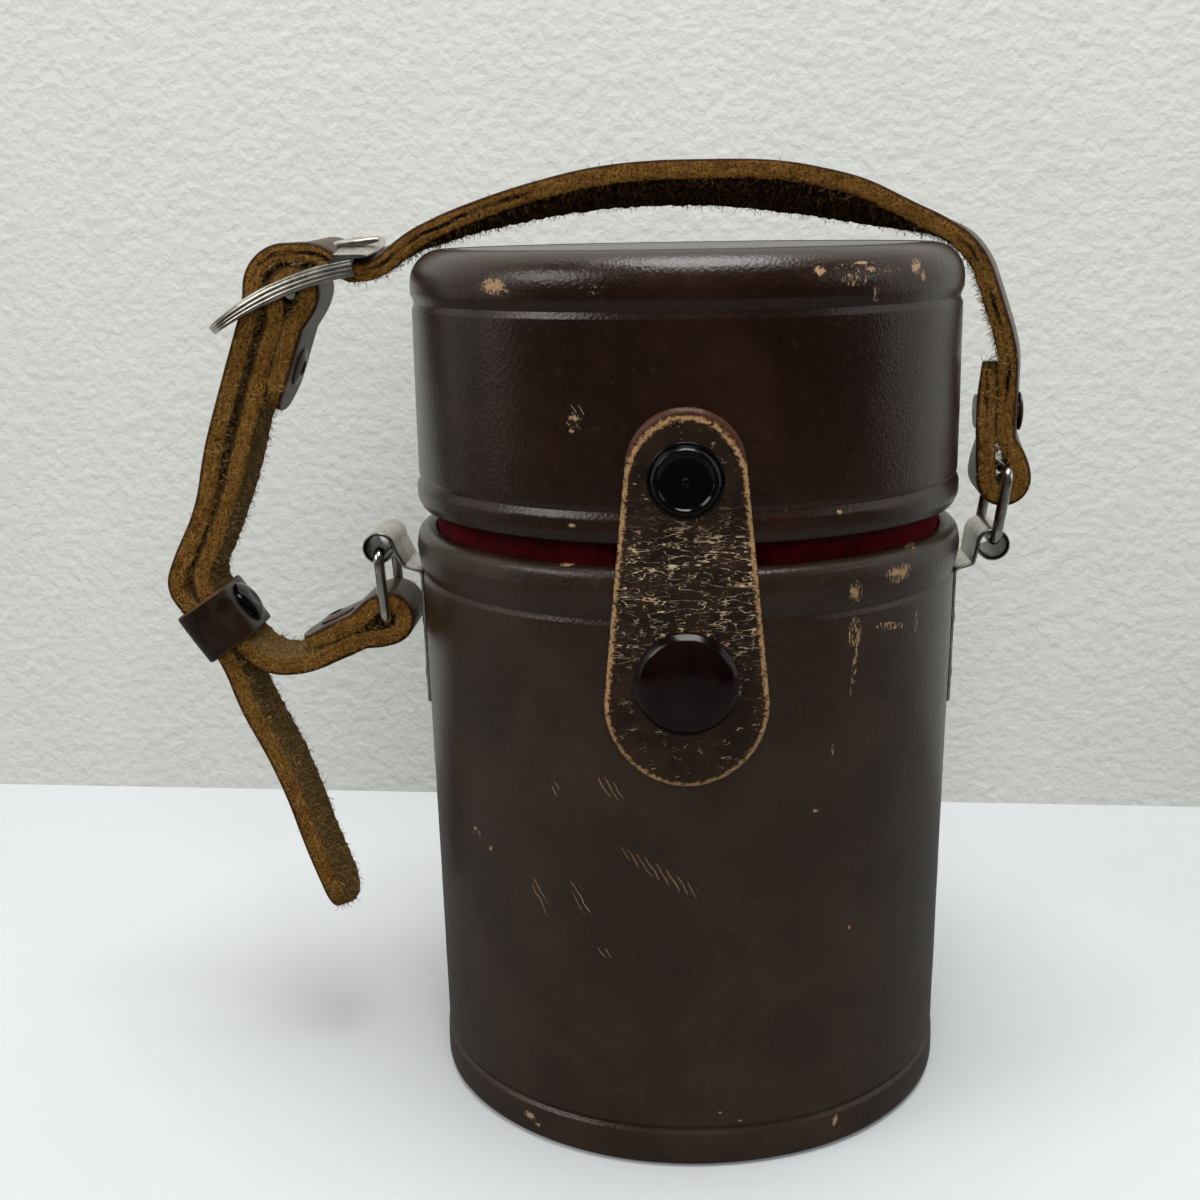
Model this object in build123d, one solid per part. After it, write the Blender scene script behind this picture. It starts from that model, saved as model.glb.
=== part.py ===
from build123d import *
import math
import os

os.makedirs("parts", exist_ok=True)

# Hard lens case: leather over fibre, with a hinged lid, a press-stud tab and a buckled strap.
# Millimetres. +Z is up, -Y is the front with the tab, and the origin is the middle of the base.

# Body
body_height = 94.3            # floor to the top of the rim bead
body_top_radius = 43.75       # leather wall just under the rim bead
body_taper = 1.4              # how much less the radius is just above the base bead
rim_bead_height = 7.6
rim_bead_bulge = 0.75
base_bead_height = 6.2
base_bead_bulge = 0.25
groove_depth = 0.35
groove_height = 0.6
leather_thickness = 1.4
core_thickness = 1.35
base_skin_thickness = 1.4
base_disc_thickness = 3.0
base_pad_thickness = 4.0
edge_rounding = 1.5
skin_gap = 0.1                # between two skins of one wall

# Velvet lining, which rises out of the body as the collar
collar_rise = 9.7
collar_thickness = 1.6

# Lid
lid_gap = 3.3                 # band of collar that shows between body and lid
lid_height = 40.4
lid_overhang = 0.05           # lid wall beyond the body's wall at the rim
lid_bead_bulge = 0.25
lid_low_bead_height = 4.7
lid_top_bead_height = 7.9
lid_corner_radius = 5.0
lid_clearance = 0.5           # collar to lid lining
lid_lining_thickness = 0.5
lid_leather_thickness = 1.0
lid_top_thickness = 1.4
lid_core_top_thickness = 2.0
lid_pad_thickness = 3.0
top_panel_margin = 5.4        # lid edge to the crease round the top panel
crease_width = 0.5

# Front tab
tab_length = 53.8
tab_top_radius = 8.4
tab_bottom_radius = 11.7
tab_drop = 30.9               # body rim down to the tab's lower end
tab_thickness = 2.2
tab_clearance = 0.3
tab_bend_above_rim = 4.9      # height of the bend line over the body rim
tab_split = 0.4
tab_joggle = 0.65             # how much further out the flap lies than the root
stud_above_tab_end = 15.4
rivet_below_tab_top = 9.9

# Press stud and the black cap rivet
snap_cap_diameter = 15.0
snap_cap_height = 2.6
snap_cap_seat = 0.9           # flat rim left round the domed middle
stud_flange_diameter = 9.6
stud_flange_thickness = 0.5
stud_neck_diameter = 5.0
stud_head_diameter = 6.2
stud_height = 3.2
stud_post_diameter = 2.4
stud_washer_diameter = 6.4
washer_thickness = 0.5
lid_washer_thickness = 0.35   # lies within the lid's lining
socket_outer_diameter = 10.4
socket_flange = 0.45
socket_inner_diameter = 7.4
black_cap_diameter = 10.0
black_cap_height = 2.0
black_post_diameter = 2.6

# Side lugs: a sheet plate, joggled out over the rim and rolled into a tube
lug_sheet = 0.5
lug_plate_width = 12.0
lug_plate_length = 22.4
lug_plate_drop = 8.9          # body rim down to the plate's upper end
lug_step_rise = 1.5           # plate's upper end up to the step's outer corner
lug_step_out = 2.05           # step's outer corner beyond the rim bead
lug_tube_length = 12.0
lug_tube_diameter = 4.9
left_tube_out = 6.1           # tube axis beyond the rim bead
right_tube_out = 5.0
lug_tube_drop = 4.2           # body rim down to the tube's axis
lug_seam = 0.5
lug_rivet_ends = (4.5, 14.0)  # rivets up from the plate's lower end
lug_rivet_diameter = 4.6
lug_rivet_rise = 0.6
lug_rivet_shank = 2.4
lug_standoff = 0.05

# Wire rings
ring_wire = 1.8
ring_length = 11.3            # near bar to far bar
ring_slack = 0.8              # near bar off the tube's axis
ring_inner_width = 12.6
ring_corner = 1.6
right_ring_lean = 8.6         # degrees out from upright
left_ring_lean = -4.2         # degrees out from hanging

# Strap leather
strap_width = 12.0
strap_thickness = 3.1
left_loop_clearance = 0.5     # strap to the ring's bar
right_loop_clearance = 0.35
right_loop_drop = 1.4         # ring's bar down to the middle of the loop
right_loop_shift = 0.2        # and how far in towards the case
fold_gap = 0.15               # between the two plies of a fold
right_fold_over = 2.2         # inner ply of the right fold to its loop's middle
strap_end_radius = 4.5
strap_rivet_diameter = 6.2
strap_rivet_rise = 0.8
strap_rivet_shank = 3.6
strap_rivet_bore = 2.6
right_rivet_along = 10.3
left_rivet_along = 9.2
buckle_rivet_along = 11.8
left_fold_angle = 204.0       # degrees from +X that a fold's plies leave their bar
right_fold_angle = 90.0
buckle_fold_angle = 250.5

# Buckle
buckle_rail_width = 2.0
buckle_rail_height = 2.2
buckle_side_gap = 0.6
buckle_bar_diameter = 2.2
buckle_bar_out = 18.45        # centre bar beyond the lid's bead
buckle_bar_drop = 6.4         # lid top down to the centre bar
buckle_bar_clearance = 0.15
buckle_plate_thickness = 1.2
buckle_end_bow = 3.6
buckle_groove = 0.3
prong_width = 2.8
prong_thickness = 1.3
prong_clearance = 0.12
prong_slot_width = 3.4
slot_cut_height = 12.0

# Keeper
keeper_length = 9.3
keeper_wall = 1.5
keeper_gap = 0.3
keeper_out = 34.4             # keeper's middle beyond the rim bead
keeper_drop = 17.45           # body rim down to the keeper's middle
keeper_tilt = 34.5            # degrees off upright
ply_gap = 0.3                 # between the two straps in the keeper
keeper_rivet_diameter = 6.0
keeper_rivet_rise = 1.1

# Rear hinge strip
hinge_width = 24.0
hinge_thickness = 1.8
hinge_length = 48.0
hinge_split = 0.5
hinge_corner = 4.0
hinge_rivet_diameter = 6.0
hinge_rivet_spread = 14.0
hinge_rivet_offset = 15.0     # up and down from the bend
hinge_rivet_rise = 0.8
hinge_rivet_shank = 2.4
hinge_washer_diameter = 4.8
hinge_standoff = 0.2

# Worked out from the above
body_base_radius = body_top_radius - body_taper
wall_slope = body_taper / (body_height - rim_bead_height - base_bead_height)
rim_radius = body_top_radius + rim_bead_bulge
core_outer_top = body_top_radius - leather_thickness
collar_radius = core_outer_top - core_thickness
lid_bottom = body_height + lid_gap
lid_top = lid_bottom + lid_height
lid_radius = body_top_radius + lid_overhang
lid_bead_radius = lid_radius + lid_bead_bulge
lid_inner_radius = collar_radius + lid_clearance
lid_lining_radius = lid_inner_radius + lid_lining_thickness
lid_core_radius = lid_radius - lid_leather_thickness
tab_bottom = body_height - tab_drop
tab_top = tab_bottom + tab_length
tab_inner_radius = rim_radius + tab_clearance
tab_outer_radius = tab_inner_radius + tab_thickness
tab_root_inner = tab_inner_radius - tab_joggle
tab_root_outer = tab_root_inner + tab_thickness
tab_bend = body_height + tab_bend_above_rim
stud_z = tab_bottom + stud_above_tab_end
black_rivet_z = tab_top - rivet_below_tab_top
lug_plate_high = body_height - lug_plate_drop
lug_plate_low = lug_plate_high - lug_plate_length
lug_rivet_heights = [lug_plate_low + end for end in lug_rivet_ends]
lug_tube_height = body_height - lug_tube_drop
tube_radius = lug_tube_diameter / 2
wire_radius = ring_wire / 2
ring_reach = ring_slack + ring_length
ring_leg_offset = ring_inner_width / 2 + wire_radius
ply_pitch = strap_thickness + ply_gap
ply_step = strap_thickness + fold_gap
left_loop_radius = wire_radius + left_loop_clearance + strap_thickness / 2
right_loop_radius = wire_radius + right_loop_clearance + strap_thickness / 2
buckle_bar_x = -lid_bead_radius - buckle_bar_out
buckle_bar_z = lid_top - buckle_bar_drop
keeper_x = -rim_radius - keeper_out
keeper_z = body_height - keeper_drop
bar_loop_radius = buckle_bar_diameter / 2 + buckle_bar_clearance + strap_thickness / 2
hinge_inner_radius = rim_radius + hinge_standoff
hinge_outer_radius = hinge_inner_radius + hinge_thickness
hinge_z = body_height + lid_gap / 2
base_stack = base_skin_thickness + base_disc_thickness


def save(node, part):
    export_step(part, f"parts/{node}.step")


def wall_radius(z):
    """Outer radius of the body's tapering leather wall at a height."""
    return body_base_radius + wall_slope * (z - base_bead_height)


def turned(points):
    """Solid of revolution about Z from (radius, height) corners."""
    profile = Plane.XZ * make_face(Polyline(*points, close=True))
    return revolve(profile, Axis.Z)


def tube(outer, inner, low, high):
    """Upright round tube."""
    ring = Circle(outer) - Circle(inner)
    return Pos(0, 0, low) * extrude(ring, high - low)


def front_rod(radius, z, near, far):
    """Round bar along Y at the case's middle, from y = near to y = far."""
    face = Plane(origin=(0, near, z), z_dir=(0, 1, 0)) * Circle(radius)
    return extrude(face, far - near)


def side_rod(radius, z, near, far, y=0.0):
    """Round bar along X at a height, from x = near to x = far."""
    face = Plane(origin=(near, y, z), z_dir=(1, 0, 0)) * Circle(radius)
    return extrude(face, far - near)


def dome(radius, height, rim, plane):
    """Low domed head: a short flat rim under a spherical cap, on a plane."""
    crown = height - rim
    sphere = (radius ** 2 + crown ** 2) / (2 * crown)
    edge = Line((0, 0), (radius, 0))
    side = Line((radius, 0), (radius, rim))
    top = RadiusArc((radius, rim), (0, height), -sphere)
    axis = Line((0, height), (0, 0))
    profile = Plane.XZ * make_face(edge + side + top + axis)
    return plane * revolve(profile, Axis.Z)


def corner_radii(corners):
    """Radius for every inner corner: its own where one is given, otherwise as large as will fit."""
    spots = [Vector(corner[0], corner[1]) for corner in corners]
    last = len(corners) - 1
    halves = [0.0] * (last + 1)
    taken = [0.0] * (last + 1)
    for i in range(1, last):
        turn = (spots[i] - spots[i - 1]).get_angle(spots[i + 1] - spots[i])
        halves[i] = math.tan(math.radians(turn) / 2)
        if len(corners[i]) > 2:
            taken[i] = corners[i][2] * halves[i]
    radii = []
    for i in range(1, last):
        if len(corners[i]) > 2:
            radii.append(corners[i][2])
            continue
        free = []
        for j in (i - 1, i + 1):
            length = (spots[j] - spots[i]).length
            shared = j not in (0, last) and taken[j] == 0
            free.append(length / 2 if shared else length - taken[j])
        radii.append(0.97 * min(free) / halves[i])
    return radii


def ribbon(corners, thickness, width):
    """Flat strap of even thickness along a rounded path in the XZ plane."""
    points = [(corner[0], corner[1]) for corner in corners]
    path = Plane.XZ * FilletPolyline(*points, radius=corner_radii(corners))
    section = Plane(origin=path @ 0, x_dir=(0, 1, 0), z_dir=path % 0) * Rectangle(width, thickness)
    return sweep(section, path=path)


# Body skins
def body_skin():
    """Leather wall of the body, with a rolled rim bead and a base bead."""
    groove_top = body_height - rim_bead_height
    base_wall = wall_radius(base_bead_height)
    inner_base = base_wall - leather_thickness
    inner_rim = core_outer_top
    bead_r = base_wall + base_bead_bulge
    outer = Line((inner_base, 0), (bead_r - edge_rounding, 0))
    outer += RadiusArc((bead_r - edge_rounding, 0), (bead_r, edge_rounding), -edge_rounding)
    outer += Line((bead_r, edge_rounding), (bead_r, base_bead_height - groove_height))
    groove_low_r = base_wall - groove_depth
    outer += Line((bead_r, base_bead_height - groove_height), (groove_low_r, base_bead_height))
    outer += Line((groove_low_r, base_bead_height), (base_wall, base_bead_height + groove_height))
    wall_foot = (base_wall, base_bead_height + groove_height)
    outer += Line(wall_foot, (body_top_radius, groove_top - groove_height))
    groove_high_r = body_top_radius - groove_depth
    outer += Line((body_top_radius, groove_top - groove_height), (groove_high_r, groove_top))
    bead_mid = groove_top + rim_bead_height * 0.55
    outer += ThreePointArc(
        (groove_high_r, groove_top),
        (body_top_radius + 0.55 * rim_bead_bulge, groove_top + 0.22 * rim_bead_height),
        (rim_radius, bead_mid),
    )
    outer += ThreePointArc(
        (rim_radius, bead_mid),
        (rim_radius - 0.45, body_height - 0.13 * rim_bead_height),
        (inner_rim + 0.5, body_height),
    )
    outer += Line((inner_rim + 0.5, body_height), (inner_rim, body_height))
    outer += Line((inner_rim, body_height), (inner_base, 0))
    skin = revolve(Plane.XZ * make_face(outer), Axis.Z)
    seat = wall_radius(stud_z) - 0.3
    skin -= front_rod(stud_flange_diameter / 2 + 0.2, stud_z, -seat - 5, -seat)
    skin -= front_rod(stud_post_diameter / 2 + skin_gap, stud_z, -seat - 1, -seat + 4)
    return skin - lug_rivet_holes() - hinge_rivet_holes(-1)


def body_core():
    """Fibre tube under the leather."""
    low = base_skin_thickness + skin_gap
    outer_low = wall_radius(low) - leather_thickness - skin_gap
    outer_high = core_outer_top - skin_gap
    inner_low = outer_low - core_thickness + 2 * skin_gap
    inner_high = collar_radius + skin_gap
    high = body_height - 1.2
    core = turned([(inner_low, low), (outer_low, low), (outer_high, high), (inner_high, high)])
    core -= front_rod(stud_post_diameter / 2 + skin_gap, stud_z, -body_top_radius, -collar_radius + 3)
    core -= front_rod(stud_washer_diameter / 2 + 0.2, stud_z, -collar_radius - washer_thickness - 0.1, 0)
    return core - lug_rivet_holes() - hinge_rivet_holes(-1)


def base_skin():
    """Leather disc under the case, the face it stands on."""
    radius = wall_radius(base_bead_height) - leather_thickness - 0.6
    return extrude(Circle(radius), base_skin_thickness)


def base_disc():
    """Fibre disc inside the base."""
    radius = wall_radius(base_stack) - leather_thickness - core_thickness - 0.3
    return Pos(0, 0, base_skin_thickness + skin_gap) * extrude(Circle(radius), base_disc_thickness)


def velvet_lining():
    """Velvet-covered tube that lines the body and stands out of it as the collar."""
    low = base_stack + 2 * skin_gap
    outer_low = wall_radius(low) - leather_thickness - core_thickness - skin_gap
    inner_low = outer_low - collar_thickness
    inner_high = collar_radius - collar_thickness
    rim = body_height - 1.0
    top = body_height + collar_rise
    tube_part = turned([
        (inner_low, low),
        (outer_low, low),
        (collar_radius, rim),
        (collar_radius, top),
        (inner_high, top),
        (inner_high, rim),
    ])
    top_edges = tube_part.edges().filter_by(GeomType.CIRCLE).group_by(Axis.Z)[-1]
    return fillet(top_edges, 0.6)


def base_pad():
    """Soft velvet pad on the floor of the case."""
    low = base_stack + 3 * skin_gap
    radius = wall_radius(low) - leather_thickness - core_thickness - collar_thickness - 0.5
    pad = Pos(0, 0, low) * extrude(Circle(radius), base_pad_thickness)
    return fillet(pad.edges().group_by(Axis.Z)[-1], 1.2)


# Lid
def lid_skin():
    """Leather wall of the lid, rolled over a top bead and a bottom bead."""
    r = lid_radius
    bead = lid_bead_radius
    low_groove = lid_bottom + lid_low_bead_height
    top_groove = lid_top - lid_top_bead_height
    corner = lid_top - lid_corner_radius
    panel = bead - top_panel_margin
    inner = lid_core_radius
    outer = Line((inner, lid_bottom), (inner + 0.4, lid_bottom))
    outer += ThreePointArc(
        (inner + 0.4, lid_bottom),
        (bead - 0.35, lid_bottom + 0.3 * lid_low_bead_height),
        (bead, lid_bottom + 0.62 * lid_low_bead_height),
    )
    groove_r = r - groove_depth
    outer += Line((bead, lid_bottom + 0.62 * lid_low_bead_height), (groove_r, low_groove))
    outer += Line((groove_r, low_groove), (r, low_groove + groove_height))
    outer += Line((r, low_groove + groove_height), (r, top_groove - groove_height))
    outer += Line((r, top_groove - groove_height), (groove_r, top_groove))
    outer += ThreePointArc(
        (groove_r, top_groove),
        (bead - 0.12, top_groove + 0.35 * (corner - top_groove)),
        (bead, corner),
    )
    outer += RadiusArc((bead, corner), (bead - lid_corner_radius, lid_top), -lid_corner_radius)
    outer += Line((bead - lid_corner_radius, lid_top), (panel, lid_top))
    outer += Line((panel, lid_top), (panel, lid_top - lid_top_thickness))
    inner_corner = inner - lid_corner_radius + 1.0
    outer += Line((panel, lid_top - lid_top_thickness), (inner_corner, lid_top - lid_top_thickness))
    inner_drop = lid_top - lid_top_thickness - (lid_corner_radius - 1.0)
    outer += RadiusArc(
        (inner_corner, lid_top - lid_top_thickness), (inner, inner_drop), lid_corner_radius - 1.0
    )
    outer += Line((inner, inner_drop), (inner, lid_bottom))
    skin = revolve(Plane.XZ * make_face(outer), Axis.Z)
    skin -= front_rod(black_post_diameter / 2 + skin_gap, black_rivet_z, -bead - 2, -inner + 3)
    return skin - hinge_rivet_holes(1)


def lid_panel():
    """Round leather panel in the top of the lid."""
    radius = lid_bead_radius - top_panel_margin - crease_width
    panel = Pos(0, 0, lid_top - lid_top_thickness) * extrude(Circle(radius), lid_top_thickness)
    return fillet(panel.edges().group_by(Axis.Z)[-1], 0.6)


def lid_core():
    """Fibre cup inside the lid."""
    outer = lid_core_radius - skin_gap
    inner = lid_lining_radius + skin_gap
    top = lid_top - lid_top_thickness - skin_gap
    under = top - lid_core_top_thickness
    cut = lid_corner_radius - 0.9
    cup = turned([
        (0, lid_bottom + 0.3),
        (outer, lid_bottom + 0.3),
        (outer, top - cut),
        (outer - 0.35 * cut, top - 0.35 * cut),
        (outer - cut, top),
        (0, top),
    ])
    cup -= Pos(0, 0, lid_bottom) * extrude(Circle(inner), under - lid_bottom)
    cup -= front_rod(black_post_diameter / 2 + skin_gap, black_rivet_z, -outer - 2, -inner + 3)
    return cup - hinge_rivet_holes(1)


def lid_lining():
    """Velvet tube inside the lid wall."""
    high = lid_top - lid_top_thickness - lid_core_top_thickness - 3 * skin_gap
    lining = tube(lid_lining_radius, lid_inner_radius, lid_bottom + 0.3, high)
    lining -= front_rod(stud_washer_diameter / 2 + 0.2, black_rivet_z, -lid_lining_radius - 1, 0)
    for plane in hinge_rivet_planes(1):
        lining -= extrude(plane * Circle(hinge_washer_diameter / 2 + 0.2), -20)
    return lining


def lid_pad():
    """Soft pad under the top of the lid."""
    top = lid_top - lid_top_thickness - lid_core_top_thickness - 2 * skin_gap
    pad = Pos(0, 0, top - lid_pad_thickness) * extrude(Circle(lid_inner_radius - 0.4), lid_pad_thickness)
    return fillet(pad.edges().group_by(Axis.Z)[0], 1.2)


# Front tab
def tab_blank():
    """Whole tab: two round ends joined by straight sides, curved round the case."""
    top = Pos(0, tab_top - tab_top_radius) * Circle(tab_top_radius)
    bottom = Pos(0, tab_bottom + tab_bottom_radius) * Circle(tab_bottom_radius)
    outline = make_hull((top + bottom).edges())
    plate = extrude(Plane.XZ * outline, 2 * tab_outer_radius)
    bend_top = tab_bend
    bend_low = body_height - 0.5
    shell = turned([
        (tab_inner_radius, tab_bottom - 1),
        (tab_outer_radius, tab_bottom - 1),
        (tab_outer_radius, bend_low),
        (tab_root_outer, bend_top),
        (tab_root_outer, tab_top + 1),
        (tab_root_inner, tab_top + 1),
        (tab_root_inner, bend_top),
        (tab_inner_radius, bend_low),
    ])
    return plate & shell


def tab_root():
    """Part of the tab that stays riveted to the lid."""
    above = Pos(0, 0, tab_bend + tab_split / 2 + tab_length) * Box(100, 200, 2 * tab_length)
    root = tab_blank() & above
    post = front_rod(black_post_diameter / 2 + skin_gap, black_rivet_z, -tab_outer_radius - 1, 0)
    return root - post


def tab_flap():
    """Swinging part of the tab, with the hole for the press stud."""
    below = Pos(0, 0, tab_bend - tab_split / 2 - tab_length) * Box(100, 200, 2 * tab_length)
    flap = tab_blank() & below
    hole = front_rod(socket_inner_diameter / 2, stud_z, -tab_outer_radius - 1, 0)
    return flap - hole


def snap_cap():
    """Brown domed cap of the press stud, hollow over the stud."""
    face = Plane(origin=(0, -tab_outer_radius, stud_z), z_dir=(0, -1, 0))
    cap = dome(snap_cap_diameter / 2, snap_cap_height, snap_cap_seat, face)
    skirt_depth = tab_outer_radius - math.sqrt(tab_outer_radius ** 2 - (snap_cap_diameter / 2) ** 2)
    skirt = extrude(face * Circle(snap_cap_diameter / 2), -skirt_depth)
    skirt -= tube(tab_outer_radius, 0.01, stud_z - 20, stud_z + 20)
    recess = front_rod(socket_inner_diameter / 2, stud_z, -tab_outer_radius - 0.8, 0)
    return cap + skirt - recess


def snap_socket():
    """Metal eyelet on the back of the tab that grips the stud."""
    back = tab_inner_radius
    disc = front_rod(socket_outer_diameter / 2, stud_z, -back - 1, -back + 2)
    flange = disc & tube(back, back - socket_flange, stud_z - 10, stud_z + 10)
    barrel = front_rod(socket_inner_diameter / 2 - 0.05, stud_z, -tab_outer_radius + 0.2, -back + 0.2)
    bore = front_rod(stud_head_diameter / 2 + 0.2, stud_z, -tab_outer_radius - 1, 0)
    return flange + barrel - bore


def snap_stud():
    """Stud on the body, with its flange and the post through the wall."""
    seat = -(wall_radius(stud_z) - 0.3)
    flange = front_rod(stud_flange_diameter / 2, stud_z, seat - stud_flange_thickness, seat)
    neck = front_rod(stud_neck_diameter / 2, stud_z, seat - stud_height, seat)
    head = front_rod(stud_head_diameter / 2, stud_z, seat - stud_height, seat - stud_height + 1.2)
    head = fillet(head.edges().group_by(Axis.Y)[0], 0.5)
    washer_face = -collar_radius - skin_gap
    post = front_rod(stud_post_diameter / 2, stud_z, seat, washer_face)
    washer = front_rod(stud_washer_diameter / 2, stud_z, washer_face - washer_thickness, washer_face)
    return flange + neck + head + post + washer


def black_rivet():
    """Glossy black cap rivet that holds the tab to the lid."""
    face = Plane(origin=(0, -tab_root_outer, black_rivet_z), z_dir=(0, -1, 0))
    cap = dome(black_cap_diameter / 2, black_cap_height, 1.2, face)
    inner = -lid_inner_radius - 0.05
    post = front_rod(black_post_diameter / 2, black_rivet_z, -tab_root_outer - 0.5, inner)
    washer = front_rod(stud_washer_diameter / 2, black_rivet_z, inner - lid_washer_thickness, inner)
    return cap + post + washer


# Lugs and rings
def rivet_seat(z):
    """Outer face of a lug plate at a height."""
    return wall_radius(z + lug_rivet_diameter / 2) + lug_standoff + lug_sheet


def lug_rivet_holes():
    holes = []
    for z in lug_rivet_heights:
        holes.append(side_rod(lug_rivet_shank / 2 + skin_gap, z, -60, 60))
        washer_reach = collar_radius + washer_thickness + 0.15
        holes.append(side_rod(lug_rivet_diameter / 2 + 0.2, z, -washer_reach, washer_reach))
    return holes


def tube_out(side):
    """Distance of a lug's tube from the middle of the case."""
    return rim_radius + (left_tube_out if side < 0 else right_tube_out)


def lug(side):
    """Sheet lug on one side: riveted plate, step and rolled tube."""
    inner_low = wall_radius(lug_plate_low) + lug_standoff
    inner_high = wall_radius(lug_plate_high) + lug_standoff
    plate = turned([
        (inner_low, lug_plate_low),
        (inner_low + lug_sheet, lug_plate_low),
        (inner_high + lug_sheet, lug_plate_high),
        (inner_high, lug_plate_high),
    ])
    plate &= Pos(side * body_top_radius, 0, body_height / 2) * Box(20, lug_plate_width, 2 * body_height)
    mid = lug_sheet / 2
    out = tube_out(side)
    step = ribbon(
        [
            (inner_high + mid, lug_plate_high - 1.0),
            (inner_high + mid, lug_plate_high + 0.4, 0.6),
            (rim_radius + lug_step_out, lug_plate_high + lug_step_rise, 0.6),
            (out - tube_radius + mid, lug_tube_height),
        ],
        lug_sheet,
        lug_tube_length,
    )
    roll = Circle(tube_radius) - Circle(tube_radius - lug_sheet)
    seam = Rot(0, 0, -50) * Pos(-tube_radius + mid, 0) * Rectangle(lug_sheet * 2.5, lug_seam)
    rolled = extrude(Plane.XZ * (roll - seam), lug_tube_length / 2, both=True)
    tube_part = Pos(out, 0, lug_tube_height) * rolled
    bracket = step + tube_part
    if side < 0:
        bracket = mirror(bracket, Plane.YZ)
    whole = plate + bracket
    for z in lug_rivet_heights:
        whole -= side_rod(lug_rivet_shank / 2 + skin_gap, z, side * 30, side * 60)
    return whole


def lug_rivets(side):
    """Two domed rivets with their washers inside the wall."""
    rivets = []
    for z in lug_rivet_heights:
        seat = rivet_seat(z)
        face = Plane(origin=(side * seat, 0, z), z_dir=(side, 0, 0))
        head = dome(lug_rivet_diameter / 2, lug_rivet_rise, 0.1, face)
        shank = side_rod(lug_rivet_shank / 2, z, side * (seat + 0.1), side * (collar_radius + skin_gap))
        washer_face = side * (collar_radius + washer_thickness)
        washer = side_rod(lug_rivet_diameter / 2, z, washer_face, side * (collar_radius + skin_gap))
        rivets.append(head + shank + washer)
    return rivets


def wire_ring(side, angle):
    """Bent wire ring through a lug's tube. The angle turns it out from straight up."""
    half = ring_leg_offset
    loop = FilletPolyline(
        (-half, ring_slack), (-half, ring_reach), (half, ring_reach), (half, ring_slack),
        radius=ring_corner, close=True,
    )
    path = Plane.YZ * loop
    start = path @ 0
    section = Plane(origin=start, z_dir=path % 0) * Circle(wire_radius)
    ring = sweep(section, path=path)
    return Pos(side * tube_out(side), 0, lug_tube_height) * Rot(0, side * angle, 0) * ring


# Straps
def keeper_frame():
    """Unit vectors along the straps in the keeper, heading down, and across them."""
    tilt = math.radians(keeper_tilt)
    along = Vector(math.sin(tilt), -math.cos(tilt))
    across = Vector(math.cos(tilt), math.sin(tilt))
    return along, across


def keeper_point(down, over):
    """Point in the XZ plane, measured from the keeper's middle along and across the straps."""
    along, across = keeper_frame()
    spot = Vector(keeper_x, keeper_z) + along * down + across * over
    return (spot.X, spot.Y)


def ring_bar(side, angle):
    """Middle of a ring's far bar."""
    lean = math.radians(angle)
    return (
        side * (tube_out(side) + ring_reach * math.sin(lean)),
        lug_tube_height + ring_reach * math.cos(lean),
    )


def right_loop():
    """Middle of the strap's loop round the right ring, which stands a little below the bar."""
    bar = ring_bar(1, right_ring_lean)
    return (bar[0] - right_loop_shift, bar[1] - right_loop_drop)


def over_lid(side, beyond, above):
    """Point by the lid: so far beyond its bead on one side, and so far above its top."""
    return (side * (lid_bead_radius + beyond), lid_top + above)


def by_body(beyond, above):
    """Point left of the body: so far beyond its rim bead, and so far above its rim."""
    return (-rim_radius - beyond, body_height + above)


def fold_point(bar, angle, along, over):
    """Point near a bar: so far along its fold's plies, and so far over to their left."""
    bearing = math.radians(angle)
    return (
        bar[0] + along * math.cos(bearing) - over * math.sin(bearing),
        bar[1] + along * math.sin(bearing) + over * math.cos(bearing),
    )


def loop_corners(bar, angle, radius, first, second, open_for=1.2):
    """Corners of a strap's way in along one ply, round a bar and out along the other."""
    near = math.copysign(radius, first)
    turn = radius - 0.02
    closed = open_for + 3.7
    return [
        (*fold_point(bar, angle, closed, first), 3.0),
        fold_point(bar, angle, open_for, near),
        (*fold_point(bar, angle, -radius, near), turn),
        (*fold_point(bar, angle, -radius, -near), turn),
        fold_point(bar, angle, open_for, -near),
        (*fold_point(bar, angle, closed, second), 3.0),
    ]


def round_ends(strap):
    """Strap with the corners of both its ends rounded."""
    corners = strap.edges().filter_by(GeomType.LINE)
    corners = corners.filter_by(lambda edge: abs(edge.length - strap_thickness) < 0.001)
    return fillet(corners, strap_end_radius)


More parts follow.
